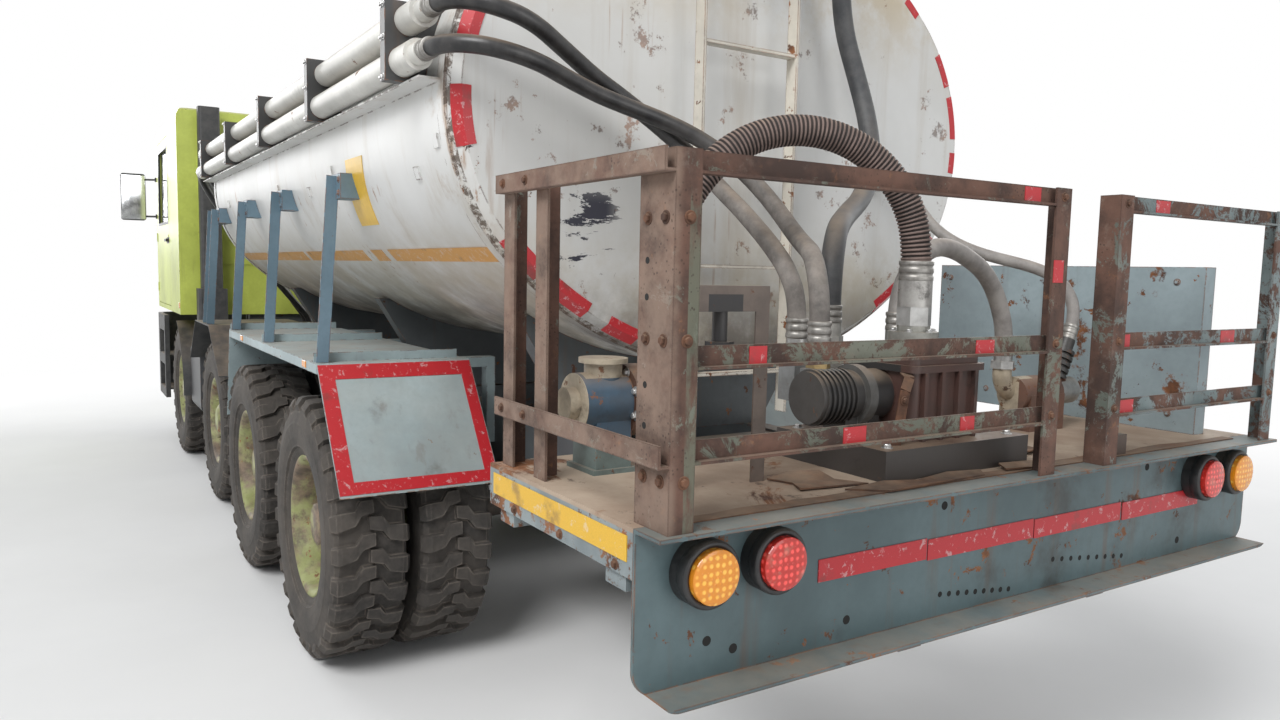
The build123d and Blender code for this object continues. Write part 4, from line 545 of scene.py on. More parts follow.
valve_zones = zone_rows(
    (0.50, 0.70, 0.90, 1.06, -0.01, 0.09, (0.150, 0.200, 0.190), 0.0),
    (0.48, 0.72, 0.93, 1.064, 0.085, 0.30, (0.055, 0.105, 0.160), 0.0),
    (0.48, 0.72, 1.060, 1.10, 0.10, 0.25, cream, 0.0),
    (0.48, 0.72, 0.90, 1.05, 0.235, 0.30, cream, 0.1),
    (0.48, 0.72, 0.874, 0.932, 0.06, 0.27, (0.125, 0.058, 0.036), 0.1),
    (0.48, 0.72, 0.76, 0.878, 0.09, 0.24, cream, 0.1),
    (0.54, 0.66, 0.765, 0.877, 0.085, 0.202, silver, 0.8),
    (0.54, 0.66, 0.765, 0.877, 0.200, 0.30, (0.30, 0.29, 0.265), 0.3),
    (0.28, 0.36, 0.66, 1.02, -0.01, 0.50, (0.150, 0.115, 0.095), 0.0),
    (0.27, 0.37, 0.78, 0.88, 0.26, 0.45, (0.028, 0.028, 0.030), 0.2),
    (0.40, 0.60, -0.735, -0.52, -0.01, 0.19, (0.170, 0.085, 0.058), 0.0),
    (0.43, 0.60, -0.86, -0.730, 0.05, 0.19, silver, 0.85),
    (0.485, 0.60, -0.60, -0.45, 0.06, 0.206, cream, 0.1),
    (0.48, 0.60, -0.56, -0.44, 0.204, 0.26, silver, 0.8),
    (0.42, 0.512, -0.80, -0.65, 0.172, 0.32, (0.032, 0.031, 0.030), 0.1),
    (0.06, 0.18, -0.50, -0.38, -0.01, 0.36, (0.095, 0.060, 0.045), 0.2),
)

materials = {
    "tank": tank_paint(),
    "deck": deck_finish(),
    "cage": rusty_angle(),
    "hose": hose_finish(),
    "tyre": tyre_rubber(),
    "wheel": wheel_paint(),
}
for kind, rows in (
    (worn_paint, {
        # Tone, shares chipped, rusted, worn at the edges, dirty and dusty, then roughness and streaks
        "pipe": ((0.60, 0.59, 0.55), 0.4, 0.40, 0.2, 0.5, 0.55, 0.45, 0.3),
        "clamp": ((0.035, 0.035, 0.035), 0.2, 0.3, 0.5, 0.2, 0.4),
        "ladder": ((0.66, 0.62, 0.54), 0.75, 0.6, 0.9, 0.5, 0.3),
        "fender": ((0.335, 0.415, 0.430), 0.35, 0.42, 0.5, 0.35, 0.45),
        "stay": ((0.115, 0.185, 0.235), 0.35, 0.32, 0.6, 0.3, 0.2, 0.45, 0.2),
        "panel": ((0.29, 0.36, 0.385), 0.6, 0.66, 0.8, 0.4, 0.4),
        # The bumper's dark blue-green paint is made darker still as painted shade, for the shadow it lies in
        "bumper": ((0.082, 0.128, 0.138), 0.62, 0.58, 0.9, 0.75, 0.4, 0.45, 0.7),
        "cab": ((0.545, 0.625, 0.110), 0.16, 0.16, 0.2, 0.25, 0.45, 0.40, 0.35),
        "chassis": ((0.085, 0.095, 0.10), 0.5, 0.6, 0.6, 0.6, 0.7),
        "box": ((0.055, 0.057, 0.06), 0.3, 0.35, 0.5, 0.4, 0.6),
        "plate": ((0.76, 0.47, 0.035), 0.15, 0.1, 0, 0.2, 0.1, 0.4),
    }),
    (plain_finish, {
        # Two near tones, the grain's scale, roughness, metal, share of dust and bump, as far as not the usual
        "loose_plate": ((0.060, 0.034, 0.024), (0.205, 0.110, 0.066), 12, 0.9, 0.1, 0.65, 0.7),
        "rust": ((0.060, 0.030, 0.020), (0.200, 0.098, 0.058), 20, 0.85, 0.2, 0.4, 0.5),
        "iron": ((0.028, 0.025, 0.023), (0.085, 0.066, 0.052), 14, 0.6, 0.3, 0.6),
        "zinc": ((0.42, 0.42, 0.42), (0.60, 0.60, 0.59), 30, 0.34, 0.85, 0.15, 0.1),
        "dark_hose": ((0.034, 0.036, 0.040), (0.080, 0.080, 0.080), 15, 0.55, 0.0, 0.5),
        "grey_hose": ((0.195, 0.180, 0.170), (0.315, 0.295, 0.275), 17, 0.6, 0.0, 0.35),
        "crimp": ((0.20, 0.19, 0.175), (0.36, 0.35, 0.33), 26, 0.45, 0.7, 0.3, 0.25),
        # Near-black for the drilled holes: painted shade where the holes go through
        "hole": ((0.006, 0.006, 0.006), (0.012, 0.011, 0.010), 30, 0.9),
        "ribbed_hose": ((0.105, 0.072, 0.062), (0.215, 0.155, 0.135), 20, 0.7, 0.0, 0.5),
        # Near-black for the valleys between the suction hose's ribs: painted shade in the hollows
        "rib_valley": ((0.016, 0.012, 0.011), (0.040, 0.029, 0.026), 20, 0.85, 0.0, 0.0),
        "plastic": ((0.030, 0.031, 0.033), (0.070, 0.068, 0.066), 12, 0.55, 0.0, 0.55),
        "trim": ((0.018, 0.018, 0.019), (0.036, 0.035, 0.035), 30, 0.45, 0.0, 0.3),
        "seat": ((0.060, 0.062, 0.070), (0.115, 0.115, 0.12), 240, 0.9, 0.0, 0.15, 0.5),
        "mirror": ((0.72, 0.74, 0.76), (0.80, 0.82, 0.84), 3, 0.06, 1.0, 0.0, 0.0),
    }),
    (reflective_tape, {
        # Tone of each tape, and how torn it is
        "red_tape": ((0.50, 0.020, 0.028),),
        "yellow_tape": ((0.78, 0.46, 0.030),),
        "orange_tape": ((0.66, 0.33, 0.075), 0.8),
    }),
    (lens, {
        # Tone of each lens
        "amber_lens": ((0.75, 0.26, 0.015),),
        "red_lens": ((0.50, 0.022, 0.014),),
    }),
    (glass_finish, {
        # Tone of each glass and how clear it is
        "clear_lens": ((0.80, 0.82, 0.84), 0.55),
        "glass": ((0.16, 0.20, 0.20), 0.75),
    }),
    (machine_finish, {
        # Base tone, fittings, and the shares of rust, oil and dust
        "casting": ((0.088, 0.044, 0.036), pump_zones, 0.35, 0.5, 0.55),
        "valve": ((0.24, 0.23, 0.21), valve_zones, 0.45, 0.4, 0.45),
    }),
):
    materials |= {name: kind(name, *row) for name, row in rows.items()}

# The solids that each finish goes on, by how their names begin
solid_finishes = {
    "tank": "tank manhole_lid", "pipe": "side_pipes", "clamp": "pipe_clamps", "ladder": "ladder",
    "fender": "fenders", "stay": "fender_stays", "panel": "side_panel", "deck": "rear_deck",
    "bumper": "rear_bumper", "cage": "guard_cages", "cab": "cab_shell door_left door_right",
    "glass": "door_glass windscreen", "chassis": "chassis_frame", "box": "side_boxes",
    "casting": "transfer_pump", "valve": "valves",
    "plastic": "mudguards front_bumper dashboard air_intake", "clear_lens": "front_lamps",
    "seat": "cab_seats", "trim": "mirrors rear_lamps",
    "iron": "axles leaf_springs engine_and_shafts knuckle_", "ribbed_hose": "suction_hose",
    "hose": "delivery_hose front_hose", "dark_hose": "roof_hose", "grey_hose": "loop_hose drain_hose",
    "tyre": "tyre_", "wheel": "rim_",
}


def finish_solids():
    """Every carried-over solid gets its material."""
    for name, node in nodes.items():
        kinds = [kind for kind, starts in solid_finishes.items() if name.startswith(tuple(starts.split()))]
        node.data.materials.clear()
        node.data.materials.append(materials[kinds[0]])


# Pieces

small_edge = 0.0008


class Shape:
    """Vertices and faces gathered for one piece."""

    def __init__(self):
        self.vertices = []
        self.faces = []

    def add(self, vertices, faces):
        start = len(self.vertices)
        self.vertices += [tuple(v) for v in vertices]
        self.faces += [tuple(index + start for index in face) for face in faces]

    def tube(self, points, count, loop=False):
        """A skin over rings of count points each, capped at its ends or joined round in a loop."""
        rings = len(points) // count
        faces = []
        for row in range(rings if loop else rings - 1):
            a, b = row * count, (row + 1) % rings * count
            faces += [(a + i, a + (i + 1) % count, b + (i + 1) % count, b + i) for i in range(count)]
        if not loop:
            faces += [tuple(range(count))[::-1], tuple(range(len(points) - count, len(points)))]
        self.add(points, faces)

    def box(self, stations, ys, heights):
        low, high = heights
        (x0, x1), (y0, y1) = [x_at(station) for station in stations], ys
        corners = [(x, y, z) for x in (x0, x1) for y, z in ((y0, low), (y1, low), (y1, high), (y0, high))]
        self.tube(corners, 4)

    def boxes(self, stations, outs, heights):
        """The same box on both sides, by its distances out from the middle."""
        for side in sides:
            self.box(stations, [side * out for out in outs], heights)

    def turned(self, profile, start, direction, count=24, offset=0.5):
        """Turns (along, radius) points about a line from start, closed at both ends."""
        start = Vector(start)
        turn = Vector(direction).to_track_quat("Z", "Y")
        points = [start + turn @ Vector((*spot, along)) for along, radius in profile
                  for spot in circle(radius, count, offset)]
        self.tube(points, count)

    def prism(self, start, end, radius, count=6, end_radius=None):
        """A many-sided bar from start to end, tapered where end_radius says so."""
        line = Vector(end) - Vector(start)
        self.turned(((0, radius), (line.length, end_radius or radius)), start, line, count, 0)

    def lathe(self, profile, centre, side, count=72):
        """Turns a closed profile of (across, radius) about a wheel's axis, across running outward."""
        cx, cy, cz = centre
        turns = circle(1, count)
        points = [(cx + r * x, cy + side * across, cz + r * z) for x, z in turns for across, r in profile]
        self.tube(points, len(profile), True)

    def disc(self, place, direction, radius, count=12):
        self.turned(((-0.001, radius), (0.0004, radius)), place, direction, count)

    def bolt(self, place, direction, radius=0.010, height=0.008):
        """A washer and a six-sided head with a rounded top."""
        self.turned(((-0.001, radius * 1.5), (0.0018, radius * 1.5)), place, direction, 16)
        self.turned(((0.001, radius), (height * 0.8, radius), (height, radius * 0.84)), place, direction, 6)

    def bolts(self, places, *how):
        for place in places:
            self.bolt(place, *how)

    def bolt_rows(self, stations, ys, heights, *how):
        """Bolts at each of the stations, lefts and heights over the platform."""
        self.bolts([on_deck(station, y, z) for station in stations for y in ys for z in heights], *how)

    def slab(self, outline, low, high, sag):
        """A thin plate between two heights with an outline of (x, y), its rim bent up by sag at most."""
        count = len(outline)
        middle = [sum(spot[axis] for spot in outline) / count for axis in (0, 1)]
        bends = [random.uniform(0, sag) for _ in outline]
        points = [(x, y, level + bend) for level in (high, low) for (x, y), bend in zip(outline, bends)]
        points += [(*middle, high), (*middle, low)]
        faces = []
        for i in range(count):
            j = (i + 1) % count
            faces += [(i, j, 2 * count), (count + j, count + i, 2 * count + 1), (i, count + i, count + j, j)]
        self.add(points, faces)

    def make(self, name, body, finish, smooth=False, edge=0.0, segments=1):
        """A mesh of the shape that rides on a body, its sharp edges rounded by edge."""
        mesh = bpy.data.meshes.new(name)
        mesh.from_pydata(self.vertices, [], self.faces)
        mesh.update()
        made = bmesh.new()
        made.from_mesh(mesh)
        bmesh.ops.recalc_face_normals(made, faces=made.faces)
        made.to_mesh(mesh)
        made.free()
        mesh.materials.append(materials[finish])
        if smooth:
            mesh.shade_smooth()
        obj = add_object(name, mesh)
        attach(obj, body)
        if edge:
            bevel = obj.modifiers.new("edges", "BEVEL")
            bevel.width = edge
            bevel.segments = segments
            bevel.limit_method = "ANGLE"
            bevel.angle_limit = math.radians(35)
        return obj


# Wheels. Sections run as across and radius, closed round the rubber or the metal
tyre_section = (
    (0.0, 0.539), (0.070, 0.538), (0.126, 0.534), (0.141, 0.520), (0.149, 0.492), (0.1535, 0.462),
    (0.1545, 0.455), (0.157, 0.445), (0.157, 0.420), (0.155, 0.385), (0.149, 0.352), (0.1495, 0.346),
    (0.139, 0.338), (0.136, 0.325), (0.126, 0.306), (0.120, 0.300), (0.108, 0.293), (0.096, 0.300),
    (0.0, 0.305),
)
lug_pitches = 27
# Across, turn and half width in pitches, top and foot radius along one lug
lug_rows = (
    (-0.010, 0.00, 0.22, 0.5615, 0.530), (0.040, 0.06, 0.26, 0.5615, 0.530),
    (0.066, 0.34, 0.25, 0.5615, 0.530), (0.118, 0.40, 0.30, 0.5610, 0.525),
    (0.136, 0.42, 0.30, 0.5560, 0.515), (0.1545, 0.44, 0.26, 0.5260, 0.480),
)
barrel_section = (
    (0.126, 0.306), (0.128, 0.300), (0.126, 0.292), (0.116, 0.282), (0.100, 0.276), (0.060, 0.262),
    (0.0, 0.256), (-0.060, 0.262), (-0.100, 0.276), (-0.116, 0.282), (-0.126, 0.292), (-0.128, 0.300),
    (-0.126, 0.306), (-0.118, 0.304), (-0.112, 0.291), (0.112, 0.291), (0.118, 0.304),
)
twin_disc = (
    (-0.050, 0.262), (-0.058, 0.240), (-0.060, 0.150), (-0.050, 0.136), (0.030, 0.134), (0.040, 0.122),
    (0.046, 0.094), (0.086, 0.090), (0.093, 0.078), (0.095, 0.0), (-0.072, 0.0), (-0.074, 0.240),
    (-0.066, 0.264),
)
inner_disc = ((0.050, 0.262), (0.058, 0.240), (0.060, 0.150), (0.050, 0.136), (0.072, 0.0), (0.074, 0.26))
twin_drum = ((0.30, 0.0), (0.30, 0.134), (-0.02, 0.134), (-0.09, 0.205), (-0.09, 0.0))
steered_disc = (
    (-0.005, 0.262), (0.030, 0.246), (0.058, 0.226), (0.064, 0.205), (0.066, 0.150), (0.072, 0.132),
    (0.100, 0.120), (0.122, 0.088), (0.125, 0.078), (0.125, 0.0), (0.050, 0.0), (0.050, 0.200),
    (0.020, 0.236), (-0.018, 0.262),
)
steered_drum = ((-0.06, 0.045), (-0.06, 0.134), (0.055, 0.134), (0.055, 0.045))
stud_circle, stud_count = 0.168, 10


def add_tyre(shape, centre, side):
    mirrored = [(-across, r) for across, r in tyre_section[1:-1]]
    shape.lathe(list(tyre_section) + mirrored[::-1], centre, side, 108)
    cx, cy, cz = centre
    for half in sides:
        for lug in range(lug_pitches):
            points = []
            for across, turn, width, top, foot in lug_rows:
                inset = 0.012 if across > 0.15 else 0
                for shift, radius, along in (
                    (-width, foot, across - inset), (-width * 0.86, top, across),
                    (width * 0.86, top, across), (width, foot, across - inset),
                ):
                    angle = 2 * math.pi / lug_pitches * (lug + turn + shift + (0.5 if half < 0 else 0))
                    x, z = radius * math.cos(angle), radius * math.sin(angle)
                    points.append((cx + x, cy + half * along, cz + z))
            shape.tube(points, 4)


def add_studs(shape, centre, side, face):
    nut, stud = (-0.004, 0.024, 0.017, 6, 0.016), (0.020, 0.044, 0.010, 8)
    for x, z in circle(stud_circle, stud_count, 0.5):
        for low, high, *how in (nut, stud):
            ends = [Vector(centre) + Vector((x, side * (face + out), z)) for out in (low, high)]
            shape.prism(*ends, *how)


def make_wheels():
    """Tyres and rims of every wheel, in place of the many-sided solids."""
    for end, station in zip(("rear", "third", "front", "second"), tandem_stations + steered_stations):
        twin = station in tandem_stations
        for side in sides:
            name = f"{end}_{hands[side]}"
            outer = (x_at(station), side * (twin_outer_y if twin else steered_y), tyre_radius)
            inner = (outer[0], outer[1] - side * twin_spacing, tyre_radius)
            tyre, rim = Shape(), Shape()
            for centre in (outer, inner) if twin else (outer,):
                add_tyre(tyre, centre, side)
                rim.lathe(barrel_section, centre, side)
            rim.lathe(twin_disc if twin else steered_disc, outer, side)
            if twin:
                rim.lathe(inner_disc, inner, side)
                rim.lathe(twin_drum, inner, side, 48)
            else:
                rim.lathe(steered_drum, outer, side, 48)
            add_studs(rim, outer, side, -0.060 if twin else 0.065)
            body = f"wheels_{name}" if twin else f"wheel_{name}"
            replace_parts(tyre.make(f"tread_{name}", body, "tyre"), f"tyre_{name}")
            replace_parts(rim.make(f"wheel_disc_{name}", body, "wheel", True), f"rim_{name}")


# Tank details

def oval_point(angle, inset=0.0):
    """Y and Z of a point on the tank's outline, moved inward, by its angle on an ellipse of that size."""
    y, z = tank_half_width * math.cos(angle), tank_half_height * math.sin(angle)
    turn = math.atan2(abs(z), abs(y) - side_centre_y)
    if turn * 1.0001 < math.atan2(crown_drop, side_centre_y):
        reach = tank_side_radius - inset
        out, up = side_centre_y + reach * math.cos(turn), reach * math.sin(turn)
    else:
        turn = math.atan2(abs(z) + crown_drop, abs(y))
        reach = tank_crown_radius - inset
        out, up = reach * math.cos(turn), reach * math.sin(turn) - crown_drop
    return math.copysign(out, y), tank_centre_z + math.copysign(up, z)


# First and last angle of each red patch on the rear head's edge, in degrees of the ellipse
head_patches = (
    (9, 24), (-11, 1.3), (-31, -41), (-42, -53), (-58, -65), (135, 140), (152, 161), (164, 176),
    (180, 186), (206, 217), (222, 232), (28, 36), (44, 50), (56, 66), (112, 120), (126, 131),
)
# Distance in from the rim and forward of the head's flat face, across one patch
patch_rows = ((0.011, 0.0305), (0.034, 0.0), (0.064, 0.0))
patch_outside, patch_inside = 0.0018, -0.0012


def make_head_patches():
    shape = Shape()
    for first, last in head_patches:
        steps = max(2, int(abs(last - first) / 2))
        points = []
        for step in range(steps + 1):
            angle = math.radians(first + (last - first) * step / steps)
            for lift, rows in ((patch_outside, patch_rows), (patch_inside, patch_rows[::-1])):
                for inset, forward in rows:
                    y, z = oval_point(angle, inset - (lift if forward else 0))
                    points.append((x_at(tank_rear) + forward - lift, y, z))
        shape.tube(points, 6)
    shape.make("head_patches", "root", "red_tape")


def flank_strip(shape, side, first, last, low, high, shear=0.0, thickness=0.0025):
    """A thin band on the tank's flank between two stations and two heights."""
    columns = max(2, int((last - first) / 0.12))
    rows = max(1, int((high - low) / 0.03))
    levels = [low + (high - low) * row / rows for row in range(rows + 1)]
    points = []
    for column in range(columns + 1):
        for outer, heights in ((thickness, levels), (-0.003, levels[::-1])):
            for z in heights:
                station = first + (last - first) * column / columns + shear * (z - low)
                points.append((x_at(station), side * (flank_y(z) + outer), z))
    shape.tube(points, 2 * (rows + 1))


stripe_z = (1.708, 1.754)
stripe_runs = ((1.34, 2.42), (2.50, 2.66), (2.78, 3.86), (3.93, 4.90), (4.96, 5.78))
# Station and height of each small welded tab on the flank
tab_places = (
    (1.62, 1.975), (1.39, 2.055), (2.66, 2.06), (3.10, 2.00), (3.75, 2.05), (4.55, 2.02), (5.30, 2.05),
)
tab_size = 0.042


def make_flank():
    """Orange stripes, the bare yellow patch on the left flank and the welded tabs."""
    stripes, plate, tabs = Shape(), Shape(), Shape()
    for side in sides:
        for first, last in stripe_runs:
            flank_strip(stripes, side, first, last, *stripe_z)
        for station, z in tab_places:
            flank_strip(tabs, side, station, station + tab_size, z, z + tab_size, thickness=0.007)
    flank_strip(plate, 1, 2.296, 2.528, 1.850, 2.105, shear=-0.33)
    stripes.make("side_stripes", "root", "orange_tape")
    plate.make("flank_patch", "root", "plate")
    tabs.make("welded_tabs", "root", "tank")


# Tapes on the platform, bumper and fenders

web_station = bumper_depth - bumper_wall
# Left and right edge and drop of each length of the bumper's red tape, and its lower edge and width
bumper_tapes = ((0.715, 0.36, 0.004), (0.355, -0.06, 0.0), (-0.065, -0.47, -0.003), (-0.48, -0.90, -0.006))
bumper_tape_z, bumper_tape_width = deck_top - 0.190, 0.052
# Red patches on the cages' rear rails: right, left, low and high edge, heights above the platform
cage_patches = (
    (0.070, 0.133, 0.689, 0.724), (0.930, 0.975, 0.318, 0.355), (0.217, 0.284, 0.316, 0.352),
    (0.640, 0.708, 0.134, 0.172), (0.276, 0.326, 0.135, 0.170), (-0.365, -0.278, 0.318, 0.354),
    (-0.404, -0.290, 0.135, 0.172), (-0.936, -0.856, 0.320, 0.356), (-0.52, -0.45, 0.690, 0.724),
)


def make_tapes():
    red = Shape()
    for left, right, drop in bumper_tapes:
        low = bumper_tape_z + drop
        red.box((web_station - 0.0025, web_station + 0.001), (right, left), (low, low + bumper_tape_width))
    for right, left, low, high in cage_patches:
        red.box((0.0315, 0.034), (right, left), (deck_top + low, deck_top + high))
    red.box((0.0125, 0.015), (-0.012, 0.028), (deck_top + 0.492, deck_top + 0.548))
    # The border of the last fender's sloping end
    low, high = Vector((x_at(2.080), 0, 0.810)), Vector((x_at(2.420), 0, 1.290))
    slope = (high - low).normalized()
    face = Vector((-slope.z, 0, slope.x)) * 0.0025
    inner, outer, length = 0.604, fender_half - 0.002, (high - low).length
    for first, last, near, far in (
        (0.012, 0.062, inner, outer), (length - 0.075, length - 0.008, inner, outer),
        (0.062, length - 0.075, inner, inner + 0.05), (0.062, length - 0.075, outer - 0.06, outer),
    ):
        for side in sides:
            corners = ((first, near), (first, far), (last, far), (last, near))
            points = [low + slope * along + face * depth + Vector((0, side * y, 0))
                      for depth in (0, 1) for along, y in corners]
            red.tube(points, 4)
    red.make("red_bands", "root", "red_tape")
    yellow = Shape()
    outs = (deck_half_width - 0.001, deck_half_width + 0.002)
    yellow.boxes((0.115, 0.765), outs, (deck_top - 0.073, deck_top - 0.020))
    yellow.make("side_bands", "root", "yellow_tape")


# Hoses: node, finish, radius, length, and the route as station, left and height over the platform
hoses = (
    ("delivery_hose_low", "hose", 0.026, 1.960, (
        (1.285, 1.200, 1.124), (1.193, 1.200, 1.124), (1.109, 1.158, 1.119), (1.053, 1.083, 1.108),
        (1.034, 0.965, 1.085), (1.058, 0.843, 1.049), (1.062, 0.735, 1.016), (1.056, 0.637, 0.992),
        (1.035, 0.541, 0.965), (0.997, 0.454, 0.927), (0.946, 0.384, 0.876), (0.884, 0.333, 0.814),
        (0.814, 0.304, 0.745), (0.739, 0.300, 0.679), (0.652, 0.322, 0.620), (0.552, 0.375, 0.584),
        (0.443, 0.438, 0.554), (0.383, 0.473, 0.496), (0.350, 0.490, 0.416), (0.350, 0.490, 0.330),
    )),
    ("delivery_hose_high", "hose", 0.026, 1.838, (
        (1.285, 1.182, 1.250), (1.202, 1.182, 1.250), (1.124, 1.147, 1.242), (1.069, 1.084, 1.226),
        (1.038, 0.978, 1.195), (1.081, 0.843, 1.134), (1.105, 0.732, 1.078), (1.113, 0.635, 1.034),
        (1.110, 0.548, 0.986), (1.085, 0.473, 0.928), (1.024, 0.430, 0.864), (0.949, 0.417, 0.801),
        (0.867, 0.420, 0.745), (0.778, 0.427, 0.693), (0.692, 0.434, 0.637), (0.611, 0.440, 0.580),
        (0.535, 0.442, 0.512), (0.490, 0.440, 0.425), (0.490, 0.440, 0.330),
    )),
    ("roof_hose", "dark_hose", 0.034, 2.219, (
        (1.400, -0.200, 1.965), (1.299, -0.200, 1.965), (1.202, -0.206, 1.925), (1.130, -0.216, 1.850),
        (1.085, -0.233, 1.730), (1.110, -0.260, 1.548), (1.134, -0.309, 1.380), (1.112, -0.364, 1.214),
        (1.070, -0.379, 1.075), (1.012, -0.349, 0.951), (0.939, -0.275, 0.840), (0.863, -0.157, 0.750),
        (0.792, -0.024, 0.692), (0.701, 0.102, 0.643), (0.647, 0.168, 0.561), (0.620, 0.200, 0.463),
        (0.620, 0.200, 0.360),
    )),
    ("loop_hose", "grey_hose", 0.028, 0.925, (
        (0.470, 0.075, 0.345), (0.470, 0.075, 0.409), (0.473, 0.055, 0.473), (0.478, 0.017, 0.526),
        (0.486, -0.039, 0.568), (0.497, -0.114, 0.592), (0.508, -0.202, 0.586), (0.513, -0.282, 0.558),
        (0.521, -0.364, 0.523), (0.527, -0.429, 0.466), (0.530, -0.474, 0.395), (0.530, -0.500, 0.323),
        (0.530, -0.500, 0.250),
    )),
    ("drain_hose", "grey_hose", 0.020, 1.050, (
        (1.200, -0.620, 0.860), (1.137, -0.620, 0.860), (1.078, -0.612, 0.836), (1.032, -0.600, 0.788),
        (0.982, -0.589, 0.745), (0.934, -0.581, 0.700), (0.882, -0.584, 0.658), (0.827, -0.600, 0.623),
        (0.771, -0.624, 0.596), (0.716, -0.655, 0.576), (0.661, -0.689, 0.560), (0.610, -0.726, 0.544),
        (0.559, -0.761, 0.521), (0.512, -0.784, 0.480), (0.479, -0.790, 0.423), (0.468, -0.779, 0.359),
        (0.468, -0.752, 0.300),
    )),
    ("front_hose_high", "hose", 0.024, 1.784, (
        (5.935, 1.182, 1.250), (6.070, 1.182, 1.250), (6.179, 1.140, 1.173), (6.254, 1.079, 1.076),
        (6.301, 1.007, 0.966), (6.333, 0.937, 0.852), (6.354, 0.865, 0.737), (6.368, 0.787, 0.625),
        (6.377, 0.706, 0.512), (6.384, 0.625, 0.399), (6.390, 0.547, 0.286), (6.397, 0.474, 0.169),
        (6.400, 0.390, 0.056), (6.400, 0.390, -0.080),
    )),
    ("front_hose_low", "hose", 0.024, 1.635, (
        (5.935, 1.200, 1.124), (6.038, 1.200, 1.124), (6.128, 1.171, 1.076), (6.183, 1.110, 0.979),
        (6.206, 1.036, 0.872), (6.221, 0.958, 0.765), (6.230, 0.880, 0.661), (6.235, 0.802, 0.556),
        (6.239, 0.723, 0.452), (6.242, 0.641, 0.350), (6.246, 0.558, 0.250), (6.250, 0.474, 0.152),
        (6.250, 0.390, 0.049), (6.250, 0.390, -0.080),
    )),
)
suction_route = (
    (0.600, 0.826, 0.290), (0.600, 0.826, 0.391), (0.596, 0.813, 0.504), (0.581, 0.786, 0.615),
    (0.563, 0.743, 0.720), (0.538, 0.662, 0.810), (0.503, 0.559, 0.865), (0.460, 0.448, 0.878),
    (0.417, 0.347, 0.853), (0.378, 0.260, 0.793), (0.347, 0.197, 0.706), (0.330, 0.165, 0.599),
    (0.330, 0.165, 0.490),
)
suction_radius, suction_length = 0.041, 1.361
# Length of the plain cuffs, and the ribs between them
cuff, rib_pitch, rib_depth = 0.055, 0.0115, 0.0040
# Share of the pitch and of the rib's height at each ring of one rib
rib_profile = ((0.04, 0.0), (0.28, 0.0), (0.42, 0.92), (0.66, 1.0), (0.88, 0.90))
ring_points = 26


def hose_line(name, route):
    """One smooth curve over a hose's route."""
    data = bpy.data.curves.new(name, "CURVE")
    data.dimensions = "3D"
    data.resolution_u = 16
    spline = data.splines.new("NURBS")
    spline.points.add(len(route) - 1)
    for point, place in zip(spline.points, route):
        point.co = (*on_deck(*place), 1)
    spline.order_u = 3
    spline.use_endpoint_u = True
    return add_object(name, data)


def make_hoses():
    for node, finish, radius, length, route in hoses:
        hose = hose_line(node.replace("hose", "line"), route)
        hose.data.bevel_depth = radius
        hose.data.bevel_resolution = 6
        hose.data.use_fill_caps = True
        hose.data.materials.append(materials[finish])
        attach(hose, "root")
        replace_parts(hose, node)
    make_suction_hose()


def make_suction_hose():
    """The corrugated suction hose, turned round its own curve."""
    guide = hose_line("suction_guide", suction_route)
    bpy.context.view_layer.update()
    traced = bpy.data.meshes.new_from_object(guide)
    path = [guide.matrix_world @ vertex.co for vertex in traced.vertices]
    bpy.data.objects.remove(guide)
    lengths = [0.0]
    for here, there in zip(path, path[1:]):
        lengths.append(lengths[-1] + (there - here).length)
    total = lengths[-1]
    smooth = suction_radius - 0.001
    count = int((total - 2 * cuff) / rib_pitch)
    pitch = (total - 2 * cuff) / count
    rows = [(0.0, smooth), (cuff, smooth)]
    rows += [
        (cuff + (rib + share) * pitch, suction_radius - rib_depth * (1 - lift))
        for rib in range(count) for share, lift in rib_profile
    ]
    rows += [(total - cuff, smooth), (total, smooth)]
    points = []
    across = (path[1] - path[0]).normalized().orthogonal()
    step = 0
    for along, radius in rows:
        while step < len(lengths) - 2 and lengths[step + 1] < along:
            step += 1
        heading = (path[step + 1] - path[step]).normalized()
        share = (along - lengths[step]) / (lengths[step + 1] - lengths[step])
        centre = path[step].lerp(path[step + 1], share)
        across = (across - heading * across.dot(heading)).normalized()
        other = heading.cross(across)
        points += [centre + across * a + other * b for a, b in circle(radius, ring_points)]
    shape = Shape()
    shape.tube(points, ring_points)
    hose = shape.make("suction_line", "root", "ribbed_hose", True)
    # The faces down in the ribs' valleys take the near-black material, as painted shade
    hose.data.materials.append(materials["rib_valley"])
    ring_rows = len(rib_profile)
    for index, face in enumerate(hose.data.polygons):
        row = index // ring_points - 2
        if 0 <= row < count * ring_rows and row % ring_rows in (0, 1, ring_rows - 1):
            face.material_index = 1
    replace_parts(hose, "suction_hose")


# Along and depth below the sleeve's face, from the hose's end outward
sleeve_rows = (
    (-0.003, 0.003), (0.0, 0), (0.010, 0), (0.013, 0.0022), (0.018, 0.0022), (0.021, 0), (0.031, 0),
    (0.034, 0.0022), (0.039, 0.0022), (0.042, 0), (0.050, 0), (0.052, 0.003),
)


def make_sleeves():
    """Crimped sleeves where the hoses leave their couplings."""
    crimp = Shape()
    for route, bore in [(row[4], row[2] + 0.005) for row in hoses] + [(suction_route, 0.046)]:
        for end, after in ((route[0], route[1]), (route[-1], route[-2])):
            start = Vector(on_deck(*end))
            heading = (Vector(on_deck(*after)) - start).normalized()
            crimp.turned([(along, bore - depth) for along, depth in sleeve_rows], start, heading, 32)
    crimp.make("hose_sleeves", "root", "crimp", True, 0.0006)


